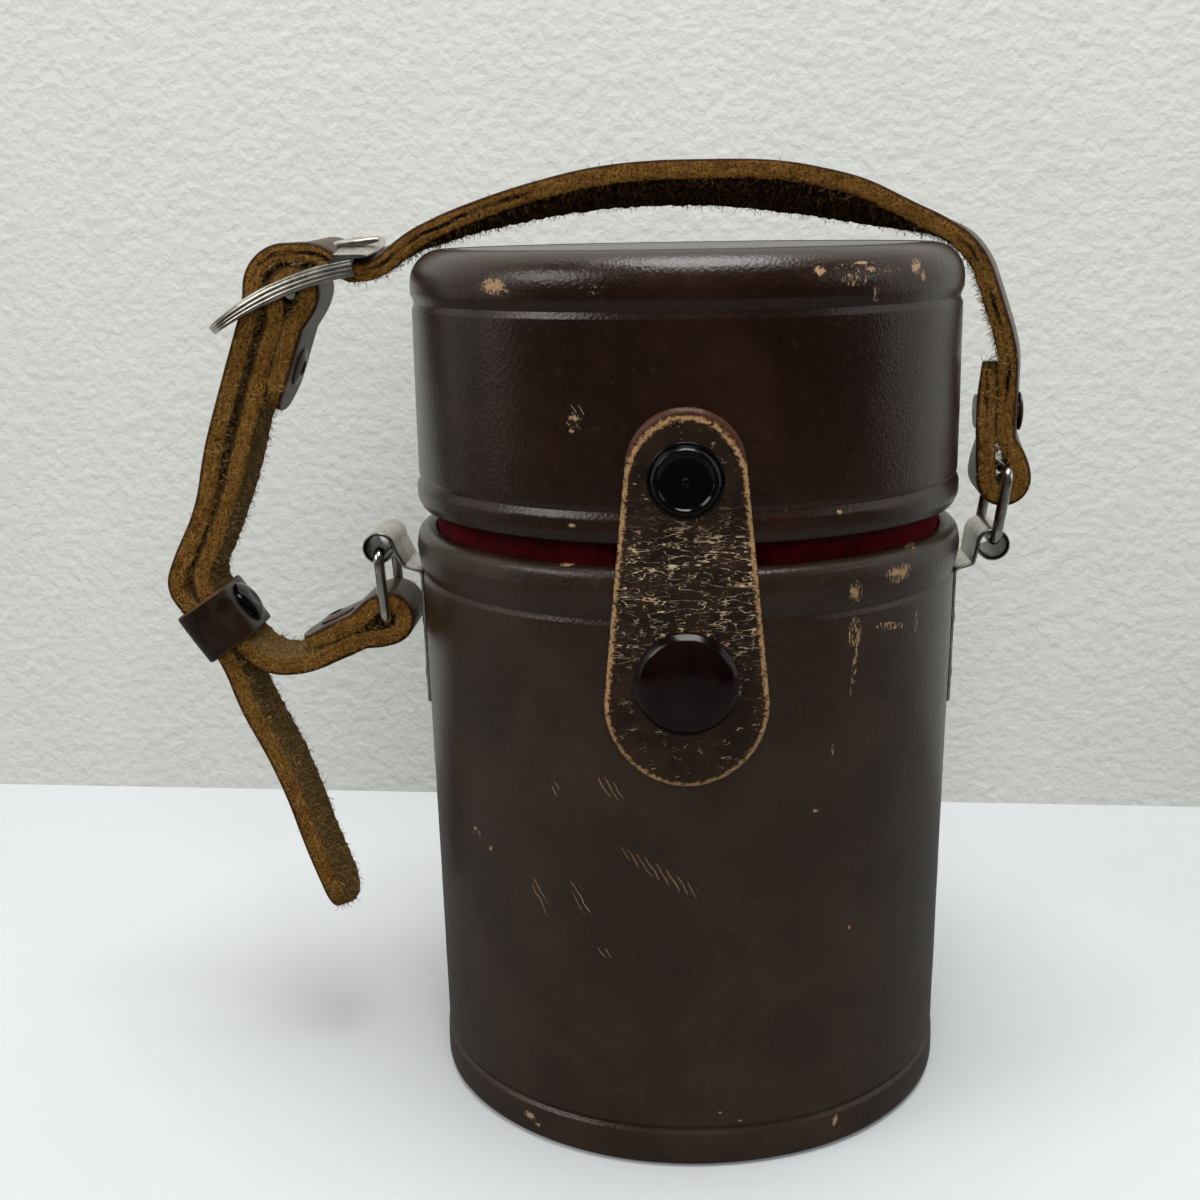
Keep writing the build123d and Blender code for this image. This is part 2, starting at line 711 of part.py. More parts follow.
def long_strap():
    """Strap from the right ring over the lid, round the buckle bar and down to its free tail."""
    loop = right_loop()
    inner = right_fold_over
    outer = right_fold_over - ply_step
    corners = [fold_point(loop, right_fold_angle, 18.2, inner)]
    corners += loop_corners(loop, right_fold_angle, right_loop_radius, inner, outer, 2.5)
    corners += [
        fold_point(loop, right_fold_angle, 19.4, outer),
        over_lid(1, 7.05, -13.9),
        over_lid(1, 5.35, -9.0),
        over_lid(1, 3.35, -3.4),
        over_lid(1, 0.55, 0.2),
        over_lid(1, -3.85, 2.5),
        over_lid(1, -11.25, 4.7),
        over_lid(1, -18.05, 6.9),
        over_lid(1, -30.05, 9.1),
        (0.0, lid_top + 9.8),
        over_lid(-1, -30.05, 9.2),
        over_lid(-1, -17.05, 6.6),
        over_lid(-1, -7.65, 4.0),
        over_lid(-1, -0.85, 1.3),
        over_lid(-1, 4.15, -2.6),
        over_lid(-1, 7.45, -3.5),
        over_lid(-1, 10.55, -3.0),
        over_lid(-1, 14.15, -0.1),
        (*over_lid(-1, 24.65, -0.1), 5.8),
        over_lid(-1, 25.15, -8.0),
        over_lid(-1, 28.85, -18.6),
        by_body(32.9, 11.9),
        by_body(34.8, 2.3),
        by_body(39.3, -6.3),
        keeper_point(-9.2, -ply_pitch / 2),
        keeper_point(6.2, -ply_pitch / 2),
        by_body(29.9, -31.5),
        by_body(25.7, -39.9),
        by_body(22.7, -47.5),
        by_body(20.1, -56.5),
        by_body(17.3, -64.3),
        by_body(15.5, -68.9),
    ]
    strap = round_ends(ribbon(corners, strap_thickness, strap_width))
    slot_low = buckle_bar_x - 1.6
    slot_high = buckle_bar_x + 8.6
    slot = Box(slot_high - slot_low, prong_slot_width, slot_cut_height)
    strap -= Pos((slot_low + slot_high) / 2, 0, buckle_bar_z + 7.8) * slot
    return strap - strap_rivet_hole(right_rivet_plane())


def short_strap():
    """Strap from the left ring through the keeper and up round the buckle's centre bar."""
    ring = ring_bar(-1, 180 - left_ring_lean)
    half = ply_step / 2
    corners = [fold_point(ring, left_fold_angle, 15.6, -half)]
    corners += loop_corners(ring, left_fold_angle, left_loop_radius, -half, half, 1.6)
    corners += [
        fold_point(ring, left_fold_angle, 16.2, half),
        by_body(25.1, -24.6),
        keeper_point(7.2, ply_pitch / 2),
        keeper_point(-7.6, ply_pitch / 2),
        by_body(33.9, -3.5),
        by_body(30.3, 5.1),
        fold_point((buckle_bar_x, buckle_bar_z), buckle_fold_angle, 18.0, -half),
    ]
    bar = (buckle_bar_x, buckle_bar_z)
    corners += loop_corners(bar, buckle_fold_angle, bar_loop_radius, -half, half)
    corners += [fold_point(bar, buckle_fold_angle, 19.4, half)]
    strap = round_ends(ribbon(corners, strap_thickness, strap_width))
    strap -= Pos(buckle_bar_x + 2, 0, buckle_bar_z + 2.4) * Box(16, prong_slot_width, slot_cut_height)
    strap -= strap_rivet_hole(left_rivet_plane())
    return strap - strap_rivet_hole(buckle_rivet_plane())


# Strap rivets
def fold_plane(bar, angle, along, over):
    """Plane on the outer face of a fold, over being measured as in fold_point."""
    x, z = fold_point(bar, angle, along, over)
    side = math.copysign(1, over)
    bearing = math.radians(angle)
    normal = (-side * math.sin(bearing), 0, side * math.cos(bearing))
    return Plane(origin=(x, 0, z), x_dir=(0, 1, 0), z_dir=normal)


def right_rivet_plane():
    """Outer face of the folded strap end above the right ring."""
    face = right_fold_over - ply_step - strap_thickness / 2
    return fold_plane(right_loop(), right_fold_angle, right_rivet_along, face)


def left_rivet_plane():
    """Upper face of the folded strap end beside the left ring."""
    face = -(ply_step + strap_thickness) / 2
    return fold_plane(ring_bar(-1, 180 - left_ring_lean), left_fold_angle, left_rivet_along, face)


def buckle_rivet_plane():
    """Right face of the folded strap end under the buckle."""
    face = (ply_step + strap_thickness) / 2
    return fold_plane((buckle_bar_x, buckle_bar_z), buckle_fold_angle, buckle_rivet_along, face)


def strap_rivet_hole(plane):
    hole = plane * Circle(strap_rivet_shank / 2 + skin_gap)
    return extrude(hole, 0.5) + extrude(hole, -ply_step - strap_thickness - 0.5)


def strap_rivet(plane):
    """Tubular rivet through the two plies of a fold, with a washer on the far side."""
    grip = ply_step + strap_thickness
    head = dome(strap_rivet_diameter / 2, strap_rivet_rise, 0.25, plane)
    shank = extrude(plane * Circle(strap_rivet_shank / 2), -grip - washer_thickness)
    washer = extrude(plane.offset(-grip) * Circle(strap_rivet_diameter / 2 - 0.4), -washer_thickness)
    bore = extrude(plane.offset(strap_rivet_rise) * Circle(strap_rivet_bore / 2), -strap_rivet_rise - 3)
    return head + shank + washer - bore


# Buckle
def buckle_point(right, up):
    """Point in the XZ plane, measured from the buckle's centre bar."""
    return (buckle_bar_x + right, buckle_bar_z + up)


def buckle_frame():
    """Curved centre-bar buckle: two ridged rails, bowed ends and a raised end plate."""
    inner_half = strap_width / 2 + buckle_side_gap
    outer_half = inner_half + buckle_rail_width
    rail_left = buckle_point(-14.9, -7.2)
    rail_right = buckle_point(10.3, 3.9)
    rail_mid = buckle_point(-1.1, 0.9)
    arc = ThreePointArc(rail_left, rail_mid, rail_right)
    path = Plane.XZ * arc
    section = Plane(origin=path @ 0, x_dir=(0, 1, 0), z_dir=path % 0)
    slab = sweep(section * Rectangle(2 * outer_half, buckle_rail_height), path=path)
    plate_left = buckle_point(7.3, 6.1)
    plate_right = buckle_point(14.1, 8.2)
    plate = ribbon([plate_left, buckle_point(10.9, 7.0), plate_right], buckle_plate_thickness, 2 * outer_half)
    heel = Plane.XZ * make_face(Polyline(
        buckle_point(5.9, 4.0), buckle_point(7.4, 6.5), buckle_point(9.9, 7.2), buckle_point(10.6, 6.4),
        buckle_point(10.4, 3.9), close=True,
    ))
    heel = extrude(heel, outer_half, both=True)
    blank = slab + heel + plate
    left, right = rail_left[0], plate_right[0]
    corner_left, corner_right = left + buckle_end_bow, right - buckle_end_bow
    outline = Polyline((corner_right, -outer_half), (corner_left, -outer_half))
    outline += ThreePointArc((corner_left, -outer_half), (left, 0), (corner_left, outer_half))
    outline += Line((corner_left, outer_half), (corner_right, outer_half))
    outline += ThreePointArc((corner_right, outer_half), (right, 0), (corner_right, -outer_half))
    deep = 4 * buckle_end_bow + 2 * outer_half
    plan = Pos(0, 0, buckle_bar_z - deep) * extrude(make_face(outline), 2 * deep)
    frame = blank & plan
    window_left, window_right = buckle_bar_x - 10.1, buckle_bar_x + 7.6
    window = Box(window_right - window_left, 2 * inner_half, 2 * deep)
    frame -= Pos((window_left + window_right) / 2, 0, buckle_bar_z) * window
    under_plate = Plane.XZ * make_face(Polyline(
        buckle_point(7.5, 0.4), buckle_point(7.5, 5.55), buckle_point(11.2, 6.6), buckle_point(14.6, 7.75),
        buckle_point(14.6, 0.4), close=True,
    ))
    frame -= extrude(under_plate, inner_half, both=True)
    for lift in (-0.35, 0.45):
        ridge = sweep(
            Plane(origin=path @ 0, x_dir=(0, 1, 0), z_dir=path % 0)
            * Pos(-outer_half, lift)
            * Rectangle(2 * buckle_groove, 0.3),
            path=path,
        )
        frame -= ridge
        frame -= mirror(ridge, Plane.XZ)
    bar = Plane(origin=(buckle_bar_x, -inner_half - 0.5, buckle_bar_z), z_dir=(0, 1, 0))
    frame += extrude(bar * Circle(buckle_bar_diameter / 2), 2 * inner_half + 1.0)
    return frame


def buckle_prong():
    """Prong: an eye round the centre bar and a bent tongue that rests on the end plate."""
    eye_inner = buckle_bar_diameter / 2 + prong_clearance
    eye_outer = eye_inner + 1.0
    eye = Circle(eye_outer) - Circle(eye_inner)
    eye = Pos(buckle_bar_x, 0, buckle_bar_z) * extrude(Plane.XZ * eye, prong_width / 2, both=True)
    tongue = ribbon(
        [
            buckle_point(1.35, 1.3),
            (*buckle_point(6.6, 7.3), 3.0),
            buckle_point(12.7, 9.6),
        ],
        prong_thickness,
        prong_width,
    )
    tongue -= Pos(buckle_bar_x, 0, buckle_bar_z) * Rot(90, 0, 0) * Cylinder(eye_inner + 0.3, 20)
    return eye + tongue


def keeper():
    """Leather loop that holds both straps together."""
    along, across = keeper_frame()
    deep = strap_thickness + ply_pitch + 2 * keeper_gap
    wide = strap_width + 2 * keeper_gap
    outer = RectangleRounded(deep + 2 * keeper_wall, wide + 2 * keeper_wall, keeper_wall)
    band = outer - Rectangle(deep, wide)
    plane = Plane(
        origin=(keeper_x, 0, keeper_z), x_dir=(across.X, 0, across.Y), z_dir=(along.X, 0, along.Y)
    )
    return plane * extrude(band, keeper_length / 2, both=True)


def keeper_rivet():
    """Small rivet head on the keeper's overlap."""
    along, across = keeper_frame()
    over = (strap_thickness + ply_pitch) / 2 + keeper_gap + keeper_wall
    x, z = keeper_point(0, over)
    face = Plane(origin=(x, 0, z), x_dir=(0, 1, 0), z_dir=(across.X, 0, across.Y))
    return dome(keeper_rivet_diameter / 2, keeper_rivet_rise, 0.15, face)


# Rear hinge
def hinge_rivet_planes(direction):
    """Outward planes on the strip's outer face, above the bend for 1 and below it for -1."""
    z = hinge_z + direction * hinge_rivet_offset
    planes = []
    for x in (-hinge_rivet_spread / 2, hinge_rivet_spread / 2):
        bearing = math.asin(x / hinge_outer_radius)
        normal = (math.sin(bearing), math.cos(bearing), 0)
        origin = (x, hinge_outer_radius * math.cos(bearing), z)
        planes.append(Plane(origin=origin, x_dir=(0, 0, 1), z_dir=normal))
    return planes


def hinge_washer_face(direction):
    """Depth of the washers' inner face from the strip's outer face, and their thickness."""
    if direction < 0:
        return hinge_outer_radius - collar_radius - skin_gap, washer_thickness
    return hinge_outer_radius - lid_inner_radius - 0.05, lid_washer_thickness


def hinge_rivet_holes(direction):
    """Shank holes, and seats in the body's fibre wall for the washers."""
    depth, thickness = hinge_washer_face(direction)
    holes = []
    for plane in hinge_rivet_planes(direction):
        holes.append(extrude(plane * Circle(hinge_rivet_shank / 2 + skin_gap), -depth - 1))
        if direction < 0:
            seat = plane.offset(thickness + skin_gap - depth)
            holes.append(extrude(seat * Circle(hinge_washer_diameter / 2 + 0.2), -3))
    return holes


def hinge_half(direction):
    """Leather hinge strip, upper half on the lid for 1, lower half on the body for -1."""
    strip = RectangleRounded(hinge_width, hinge_length, hinge_corner)
    plate = extrude(Plane.XZ * Pos(0, hinge_z) * strip, -2 * hinge_outer_radius)
    shell = tube(hinge_outer_radius, hinge_inner_radius, hinge_z - 60, hinge_z + 60)
    middle = hinge_z + direction * (hinge_length + hinge_split / 2)
    half = plate & shell & Pos(0, 0, middle) * Box(100, 200, 2 * hinge_length)
    for plane in hinge_rivet_planes(direction):
        half -= extrude(plane * Circle(hinge_rivet_shank / 2 + skin_gap), 4, both=True)
    return half


def hinge_rivets(direction):
    """Two rivets through the hinge strip and the wall behind it."""
    depth, thickness = hinge_washer_face(direction)
    rivets = []
    for plane in hinge_rivet_planes(direction):
        head = dome(hinge_rivet_diameter / 2, hinge_rivet_rise, 0.25, plane)
        shank = extrude(plane * Circle(hinge_rivet_shank / 2), -depth)
        washer = extrude(plane.offset(thickness - depth) * Circle(hinge_washer_diameter / 2), -thickness)
        rivets.append(head + shank + washer)
    return rivets


save("body_leather", body_skin())
save("body_core", body_core())
save("base_leather", base_skin())
save("base_disc", base_disc())
save("velvet_lining", velvet_lining())
save("base_pad", base_pad())
save("lid_leather", lid_skin())
save("lid_top_panel", lid_panel())
save("lid_core", lid_core())
save("lid_lining", lid_lining())
save("lid_pad", lid_pad())
save("tab_root", tab_root())
save("tab_flap", tab_flap())
save("snap_cap", snap_cap())
save("snap_socket", snap_socket())
save("snap_stud", snap_stud())
save("tab_cap_rivet", black_rivet())
save("left_lug", lug(-1))
save("right_lug", lug(1))
save("left_lug_rivets", Compound(children=lug_rivets(-1)))
save("right_lug_rivets", Compound(children=lug_rivets(1)))
save("left_ring", wire_ring(-1, 180 - left_ring_lean))
save("right_ring", wire_ring(1, right_ring_lean))
save("long_strap", long_strap())
save("short_strap", short_strap())
save("right_strap_rivet", strap_rivet(right_rivet_plane()))
save("left_strap_rivet", strap_rivet(left_rivet_plane()))
save("buckle_strap_rivet", strap_rivet(buckle_rivet_plane()))
save("buckle_frame", buckle_frame())
save("buckle_prong", buckle_prong())
save("keeper", keeper())
save("keeper_rivet", keeper_rivet())
save("hinge_strip_lid", hinge_half(1))
save("hinge_strip_body", hinge_half(-1))
save("hinge_rivets_lid", Compound(children=hinge_rivets(1)))
save("hinge_rivets_body", Compound(children=hinge_rivets(-1)))
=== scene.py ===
# %% [markdown]
# # A hard leather lens case
# The case is a fibre tube covered in dark leather, with a hinged lid, a press-stud tab and a
# buckled carrying strap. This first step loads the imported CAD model. It gives the frame that
# every piece below is placed in, so nothing has to be fitted by eye.

# %% Load the frame
import math

import bmesh
import bpy
from mathutils import Matrix, Vector, noise


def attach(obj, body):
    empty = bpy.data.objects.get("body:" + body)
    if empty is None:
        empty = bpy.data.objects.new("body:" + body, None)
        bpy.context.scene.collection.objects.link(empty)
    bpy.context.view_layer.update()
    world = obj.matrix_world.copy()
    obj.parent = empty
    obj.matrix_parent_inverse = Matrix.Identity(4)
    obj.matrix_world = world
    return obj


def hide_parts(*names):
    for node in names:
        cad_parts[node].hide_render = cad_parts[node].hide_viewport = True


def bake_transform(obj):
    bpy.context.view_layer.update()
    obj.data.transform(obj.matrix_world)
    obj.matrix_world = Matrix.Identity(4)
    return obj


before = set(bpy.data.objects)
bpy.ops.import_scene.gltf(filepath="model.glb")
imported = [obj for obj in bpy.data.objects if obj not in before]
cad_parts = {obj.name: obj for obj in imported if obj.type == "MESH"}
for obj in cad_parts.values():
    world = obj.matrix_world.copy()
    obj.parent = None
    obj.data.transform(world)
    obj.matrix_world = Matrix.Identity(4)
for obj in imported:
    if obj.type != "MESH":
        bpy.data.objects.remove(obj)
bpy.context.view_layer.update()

MM = 0.001

# %% [markdown]
# ## The camera
# A photograph of a small thing is taken from close by, and the perspective shows it: the rims
# are clear ellipses. A camera that stands at the same distance and height, with the same pitch,
# gives the same ellipses. A long lens far away would flatten them.

# %% Place the camera
def stand_camera(place, turn, pitch, roll, lens):
    """Camera at a place in metres, turned by angles in degrees."""
    data = bpy.data.cameras.new("photo_camera")
    data.lens, data.sensor_width = lens, 36.0
    data.clip_start, data.clip_end = 0.01, 20.0
    camera = bpy.data.objects.new("photo_camera", data)
    bpy.context.collection.objects.link(camera)
    aim = Matrix.Rotation(math.radians(turn), 4, "Z")
    aim = aim @ Matrix.Rotation(math.radians(90 - pitch), 4, "X")
    aim = aim @ Matrix.Rotation(math.radians(roll), 4, "Z")
    camera.matrix_world = Matrix.Translation(place) @ aim
    return camera


bpy.context.scene.camera = stand_camera(
    place=(0, -0.26238, 0.14194), turn=3.172, pitch=13.32, roll=-0.97, lens=48.0)
print("camera", tuple(round(v, 4) for v in bpy.context.scene.camera.location))

# %% [markdown]
# ## Shader maths as plain expressions
# Materials are graphs of nodes, and long formulas are hard to read as links. One small class
# wraps a socket and overloads the operators, so a mask can be written as `1 - wear * 0.5`. The
# nodes are the same as those made by hand.

# %% Wrap a socket
def maths(operation, swapped=False):
    """Method that adds a Math node, with its values the other way round if swapped."""
    def method(self, *others):
        values = (*others, self) if swapped else (self, *others)
        return self.finish.node("ShaderNodeMath", {"operation": operation}, dict(enumerate(values)))
    return method


class Wire:
    """One output socket of a material. Arithmetic on it adds Math nodes."""

    __add__ = __radd__ = maths("ADD")
    __sub__, __rsub__ = maths("SUBTRACT"), maths("SUBTRACT", True)
    __mul__, __truediv__ = maths("MULTIPLY"), maths("DIVIDE")
    low, high = maths("MINIMUM"), maths("MAXIMUM")
    sine, size = maths("SINE"), maths("ABSOLUTE")

    def __init__(self, finish, socket):
        self.finish = finish
        self.socket = socket

    def step(self, start, end):
        """0 before start, 1 after end, smooth between. start may be the larger one."""
        settings = {"interpolation_type": "SMOOTHSTEP"}
        inputs = {"Value": self, "From Min": start, "From Max": end}
        return self.finish.node("ShaderNodeMapRange", settings, inputs)


# %% [markdown]
# ## A finish under construction
# Every finish of the case starts from the Principled shader. The class below adds nodes by type,
# and has short names for what leather and metal need most: noise, cells, a mix of two colours
# and a relief of bumps.

# %% Build a finish
class Finish:
    """A material that is being put together."""

    def __init__(self, name, **constants):
        self.material = bpy.data.materials.new(name)
        self.material.use_nodes = True
        self.tree = self.material.node_tree
        self.shader = self.tree.nodes["Principled BSDF"]
        for words, value in constants.items():
            socket = self.shader.inputs[words.replace("_", " ").title().replace("Ior", "IOR")]
            socket.default_value = (*value, 1.0) if isinstance(value, tuple) else value

    def feed(self, socket, value):
        """Links or sets one input socket."""
        if isinstance(value, Wire):
            self.tree.links.new(value.socket, socket)
        elif isinstance(value, tuple) and socket.type == "RGBA":
            socket.default_value = (*value, 1.0)
        else:
            socket.default_value = value

    def node(self, kind, settings=None, inputs=None, out=0):
        """Adds any node: its settings first, then the values or links of its sockets."""
        node = self.tree.nodes.new(kind)
        for key, value in (settings or {}).items():
            setattr(node, key, value)
        for key, value in (inputs or {}).items():
            self.feed(node.inputs[key], value)
        return Wire(self, node.outputs[out])

    def place(self):
        """Position on the object, in metres."""
        return self.node("ShaderNodeTexCoord", out="Object")

    def flat(self, axis=None):
        """Position on the piece's own flat pattern, in metres, or one axis of it."""
        spot = self.node("ShaderNodeUVMap", {"uv_map": "flat"})
        return spot if axis is None else self.axis(spot, axis)

    def value(self, name):
        """A value that the mesh carries at each point."""
        return self.node("ShaderNodeAttribute", {"attribute_name": name}, out="Fac")

    def axis(self, vector, name):
        return self.node("ShaderNodeSeparateXYZ", None, {0: vector}, out=name)

    def stretch(self, vector, scale, turn=0.0, lean=0.0):
        """A position turned about Z and leant about Y, in radians, and scaled."""
        inputs = {"Vector": vector, "Scale": scale, "Rotation": (0, lean, turn)}
        return self.node("ShaderNodeMapping", {"vector_type": "POINT"}, inputs)

    def noise(self, grain, detail=2.0, vector=None, rough=0.5, twist=0.0):
        """Noise whose features are grain millimetres wide."""
        inputs = {
            "Vector": vector or self.place(), "Scale": 1.0 / (grain * MM),
            "Detail": detail, "Roughness": rough, "Distortion": twist,
        }
        return self.node("ShaderNodeTexNoise", None, inputs)

    def cells(self, grain, vector=None, feature="SMOOTH_F1"):
        """Voronoi cells grain millimetres wide: distance to a centre or to an edge."""
        inputs = {"Vector": vector or self.place(), "Scale": 1.0 / (grain * MM)}
        return self.node("ShaderNodeTexVoronoi", {"feature": feature}, inputs, out="Distance")

    def mix(self, factor, first, second):
        """Colour mix from first, at 0, to second, at 1."""
        settings = {"data_type": "RGBA", "clamp_factor": True}
        return self.node("ShaderNodeMix", settings, {0: factor, 6: first, 7: second}, out=2)

    def relief(self, *layers):
        """Bumps on top of each other, each a height from 0 to 1 and its depth in millimetres."""
        normal = None
        for height, depth in layers:
            inputs = {"Height": height, "Distance": depth * MM}
            if normal is not None:
                inputs["Normal"] = normal
            normal = self.node("ShaderNodeBump", None, inputs)
        return normal

    def done(self, **inputs):
        """Feeds the shader's changing inputs and gives the material."""
        for words, value in inputs.items():
            self.feed(self.shader.inputs[words.replace("_", " ").title()], value)
        return self.material


# %% [markdown]
# ## Worn places
# The photograph shows small chips where the dark top coat has gone and the pale tan leather
# comes through. Each one is an ellipse at a known place on the front. Noise breaks its edge, so
# it reads as torn finish and not as a painted dot. The nearest ellipse wins at every point, so
# one mask holds the whole set, at three nodes a chip.

# %% Chips and ticks
def chips(finish, spots, ragged=2.0, grain=0.5, full=0.95):
    """Mask of worn chips, each (x, z, half width, half height, lean in degrees) in millimetres.

    full is how solid their middles are."""
    nearest = None
    where = finish.place()
    for x, z, wide, tall, lean in spots:
        inputs = {
            "Vector": where,
            "Location": (x * MM, -38 * MM, z * MM),
            "Rotation": (0, math.radians(lean), 0),
            "Scale": (wide * MM, 30 * MM, tall * MM),
        }
        local = finish.node("ShaderNodeMapping", {"vector_type": "TEXTURE"}, inputs)
        far = finish.node("ShaderNodeVectorMath", {"operation": "LENGTH"}, {0: local}, out="Value")
        nearest = far if nearest is None else nearest.low(far)
    torn = finish.noise(grain, 5, rough=0.8) - 0.5
    return (full - nearest + torn * (2 * ragged)).step(0.0, 0.25)


def ticks(finish, pitch, lean):
    """Short parallel scratches, pitch millimetres apart."""
    where = finish.place()
    run = finish.axis(where, "X") + finish.axis(where, "Z") * math.tan(math.radians(lean))
    wander = finish.noise(3.0, 1) * (1.3 * pitch * MM)
    return ((run + wander) * (2 * math.pi / (pitch * MM))).sine().step(0.72, 0.98)


# %% [markdown]
# ## Case leather
# The skin of the case is smooth calf, dyed almost black-brown and pressed. Close up it has a
# fine pebble, a soft mottling and a satin gloss that is a little uneven. The lid has taken
# more handling and is redder. A single noise would look like plastic, so three sizes of
# pattern are laid over each other.

# %% Make the case leather
MOUTH_Z = 98


def on_piece(spots, on_lid):
    """The spots above the mouth of the case, on the lid, or below it, on the body."""
    return [spot for spot in spots if (spot[1] > MOUTH_Z) == on_lid]


def case_leather(name, dark, warm, worn, scratched, gloss):
    """Pressed dark leather with worn chips at given places."""
    on_lid = worn[0][1] > MOUTH_Z
    skin = Finish(name, specular_ior_level=0.5)
    clouds = skin.noise(16, 3, rough=0.6, twist=0.4)
    specks = skin.noise(1.3, 4, rough=0.7)
    colour = skin.mix(clouds.step(0.35, 0.7), dark, warm)
    dusty = tuple(1.8 * c + 0.006 for c in warm)
    colour = skin.mix(specks.step(0.55, 0.75) * 0.45, colour, dusty)
    tan = skin.mix(skin.noise(0.8, 2), (0.24, 0.13, 0.06), (0.45, 0.29, 0.16))
    bare = chips(skin, worn)
    lines = chips(skin, scratched, 0.7, 0.7, 1.25) * ticks(skin, 0.95, 30) * 0.6
    grazed = skin.stretch(skin.place(), (1.5, 1.0, 0.38), lean=math.radians(8))
    streaks = skin.noise(0.42, 3, grazed, 0.6).step(0.50, 0.57)
    scored = chips(skin, on_piece(SCORED, on_lid), 0.6, 1.2, 1.1) * streaks
    dots = skin.noise(0.55, 4, rough=0.75).step(0.56, 0.64)
    flecks = chips(skin, on_piece(RUBBED, on_lid), 0.5, 2.0, 1.1) * dots * 0.8
    rub = skin.noise(4.0, 5, rough=0.75).step(0.68, 0.78) * skin.noise(22, 1).step(0.5, 0.62)
    colour = skin.mix(rub * 0.3, colour, (0.10, 0.055, 0.03))
    marks = bare.high(lines).high(flecks.high(scored))
    colour = skin.mix(marks, colour, tan)
    pebble = skin.cells(0.5) + skin.noise(0.3, 2) * 0.6
    relief = skin.relief((pebble, 0.045), (skin.noise(4.0, 3), 0.03), (1.0 - marks, 0.07))
    rough = gloss + clouds * 0.06 + specks * 0.14 + marks * 0.3
    return skin.done(base_color=colour, roughness=rough, normal=relief)


RUBBED = [
    (25.0, 134.9, 5.5, 1.0, 0), (-15.3, 115.0, 1.4, 1.4, 0), (-12.6, 133.0, 1.6, 0.8, 0),
    (-2.0, 94.0, 6.0, 0.4, 0), (-33.0, 48.6, 1.0, 1.2, 0), (14.0, 102.4, 4.0, 0.3, 0),
]
SCORED = [
    (24.3, 89.6, 1.0, 1.8, 0), (31.0, 91.2, 2.0, 1.5, 0), (24.4, 83.4, 1.0, 2.3, 0),
    (29.9, 83.2, 2.7, 0.55, 14), (34.6, 82.4, 0.4, 1.8, 0), (33.3, 94.2, 0.9, 0.5, 0),
    (23.4, 133.6, 1.9, 0.9, 0), (26.5, 131.5, 0.6, 1.0, 0), (21.4, 66.0, 0.3, 0.9, 0),
    (24.4, 78.0, 0.4, 4.5, 5),
]
BODY_CHIPS = [
    (24.3, 89.4, 0.5, 0.9, 12), (30.6, 91.3, 1.1, 0.6, 0), (31.9, 90.9, 0.4, 0.9, 10),
    (18.8, 56.9, 0.6, 0.22, 0), (24.6, 36.6, 0.35, 0.3, 0), (-30.6, 47.3, 0.25, 0.5, 30),
    (-33.2, 49.5, 0.3, 0.35, 0), (-25.2, 3.6, 0.95, 0.6, 10), (-23.8, 2.6, 0.5, 0.3, 0),
    (4.8, 9.2, 0.3, 0.2, 0), (7.9, 7.5, 0.3, 0.2, 0), (22.9, 4.4, 0.4, 0.95, 15),
    (-4.0, 94.0, 0.9, 0.15, 5), (-17.0, 94.2, 1.0, 0.15, -4),
]
BODY_TICKS = [
    (-4.0, 48.6, 6.0, 0.9, 30), (-11.2, 61.3, 2.0, 1.0, 40), (-16.0, 43.3, 0.8, 2.6, -25),
    (-22.4, 41.9, 0.7, 2.6, -20), (-12.4, 35.0, 1.2, 0.6, 10), (-19.5, 60.1, 0.5, 1.0, 0),
]
LID_CHIPS = [
    (-26.9, 133.3, 1.9, 1.2, 5), (-24.9, 132.7, 0.5, 0.4, 0), (-15.4, 115.4, 0.8, 0.4, 0),
    (-15.9, 113.6, 0.4, 0.25, 0), (18.3, 134.9, 0.8, 0.6, 0), (32.8, 134.9, 0.9, 1.1, 0),
    (33.9, 133.6, 0.4, 0.8, 0), (25.7, 134.9, 0.7, 0.35, 0), (-16.1, 100.3, 0.5, 0.35, 0),
    (24.2, 135.8, 1.0, 0.2, 0), (21.7, 101.4, 0.4, 0.3, 30),
]
LID_TICKS = [(-14.8, 116.6, 1.2, 0.5, 20)]
body_skin = case_leather(
    "body_skin", (0.0180, 0.0085, 0.0040), (0.031, 0.0160, 0.0082), BODY_CHIPS, BODY_TICKS, 0.25)
lid_skin = case_leather(
    "lid_skin", (0.0100, 0.0026, 0.0006), (0.0190, 0.0060, 0.0018), LID_CHIPS, LID_TICKS, 0.20)
print("case leather", len(body_skin.node_tree.nodes), "nodes with", len(BODY_CHIPS), "chips")

# %% [markdown]
# ## Tab leather
# The tab has been bent and snapped for decades. Its finish has cracked across the bend into
# fine pale lines, and the cut edge has worn to bare tan all round. Each point of the mesh
# knows how far it is from the outline, so the worn line follows the edge exactly. The cracks
# are the middle contour of a stretched noise, a thin line that wanders but never crosses itself.

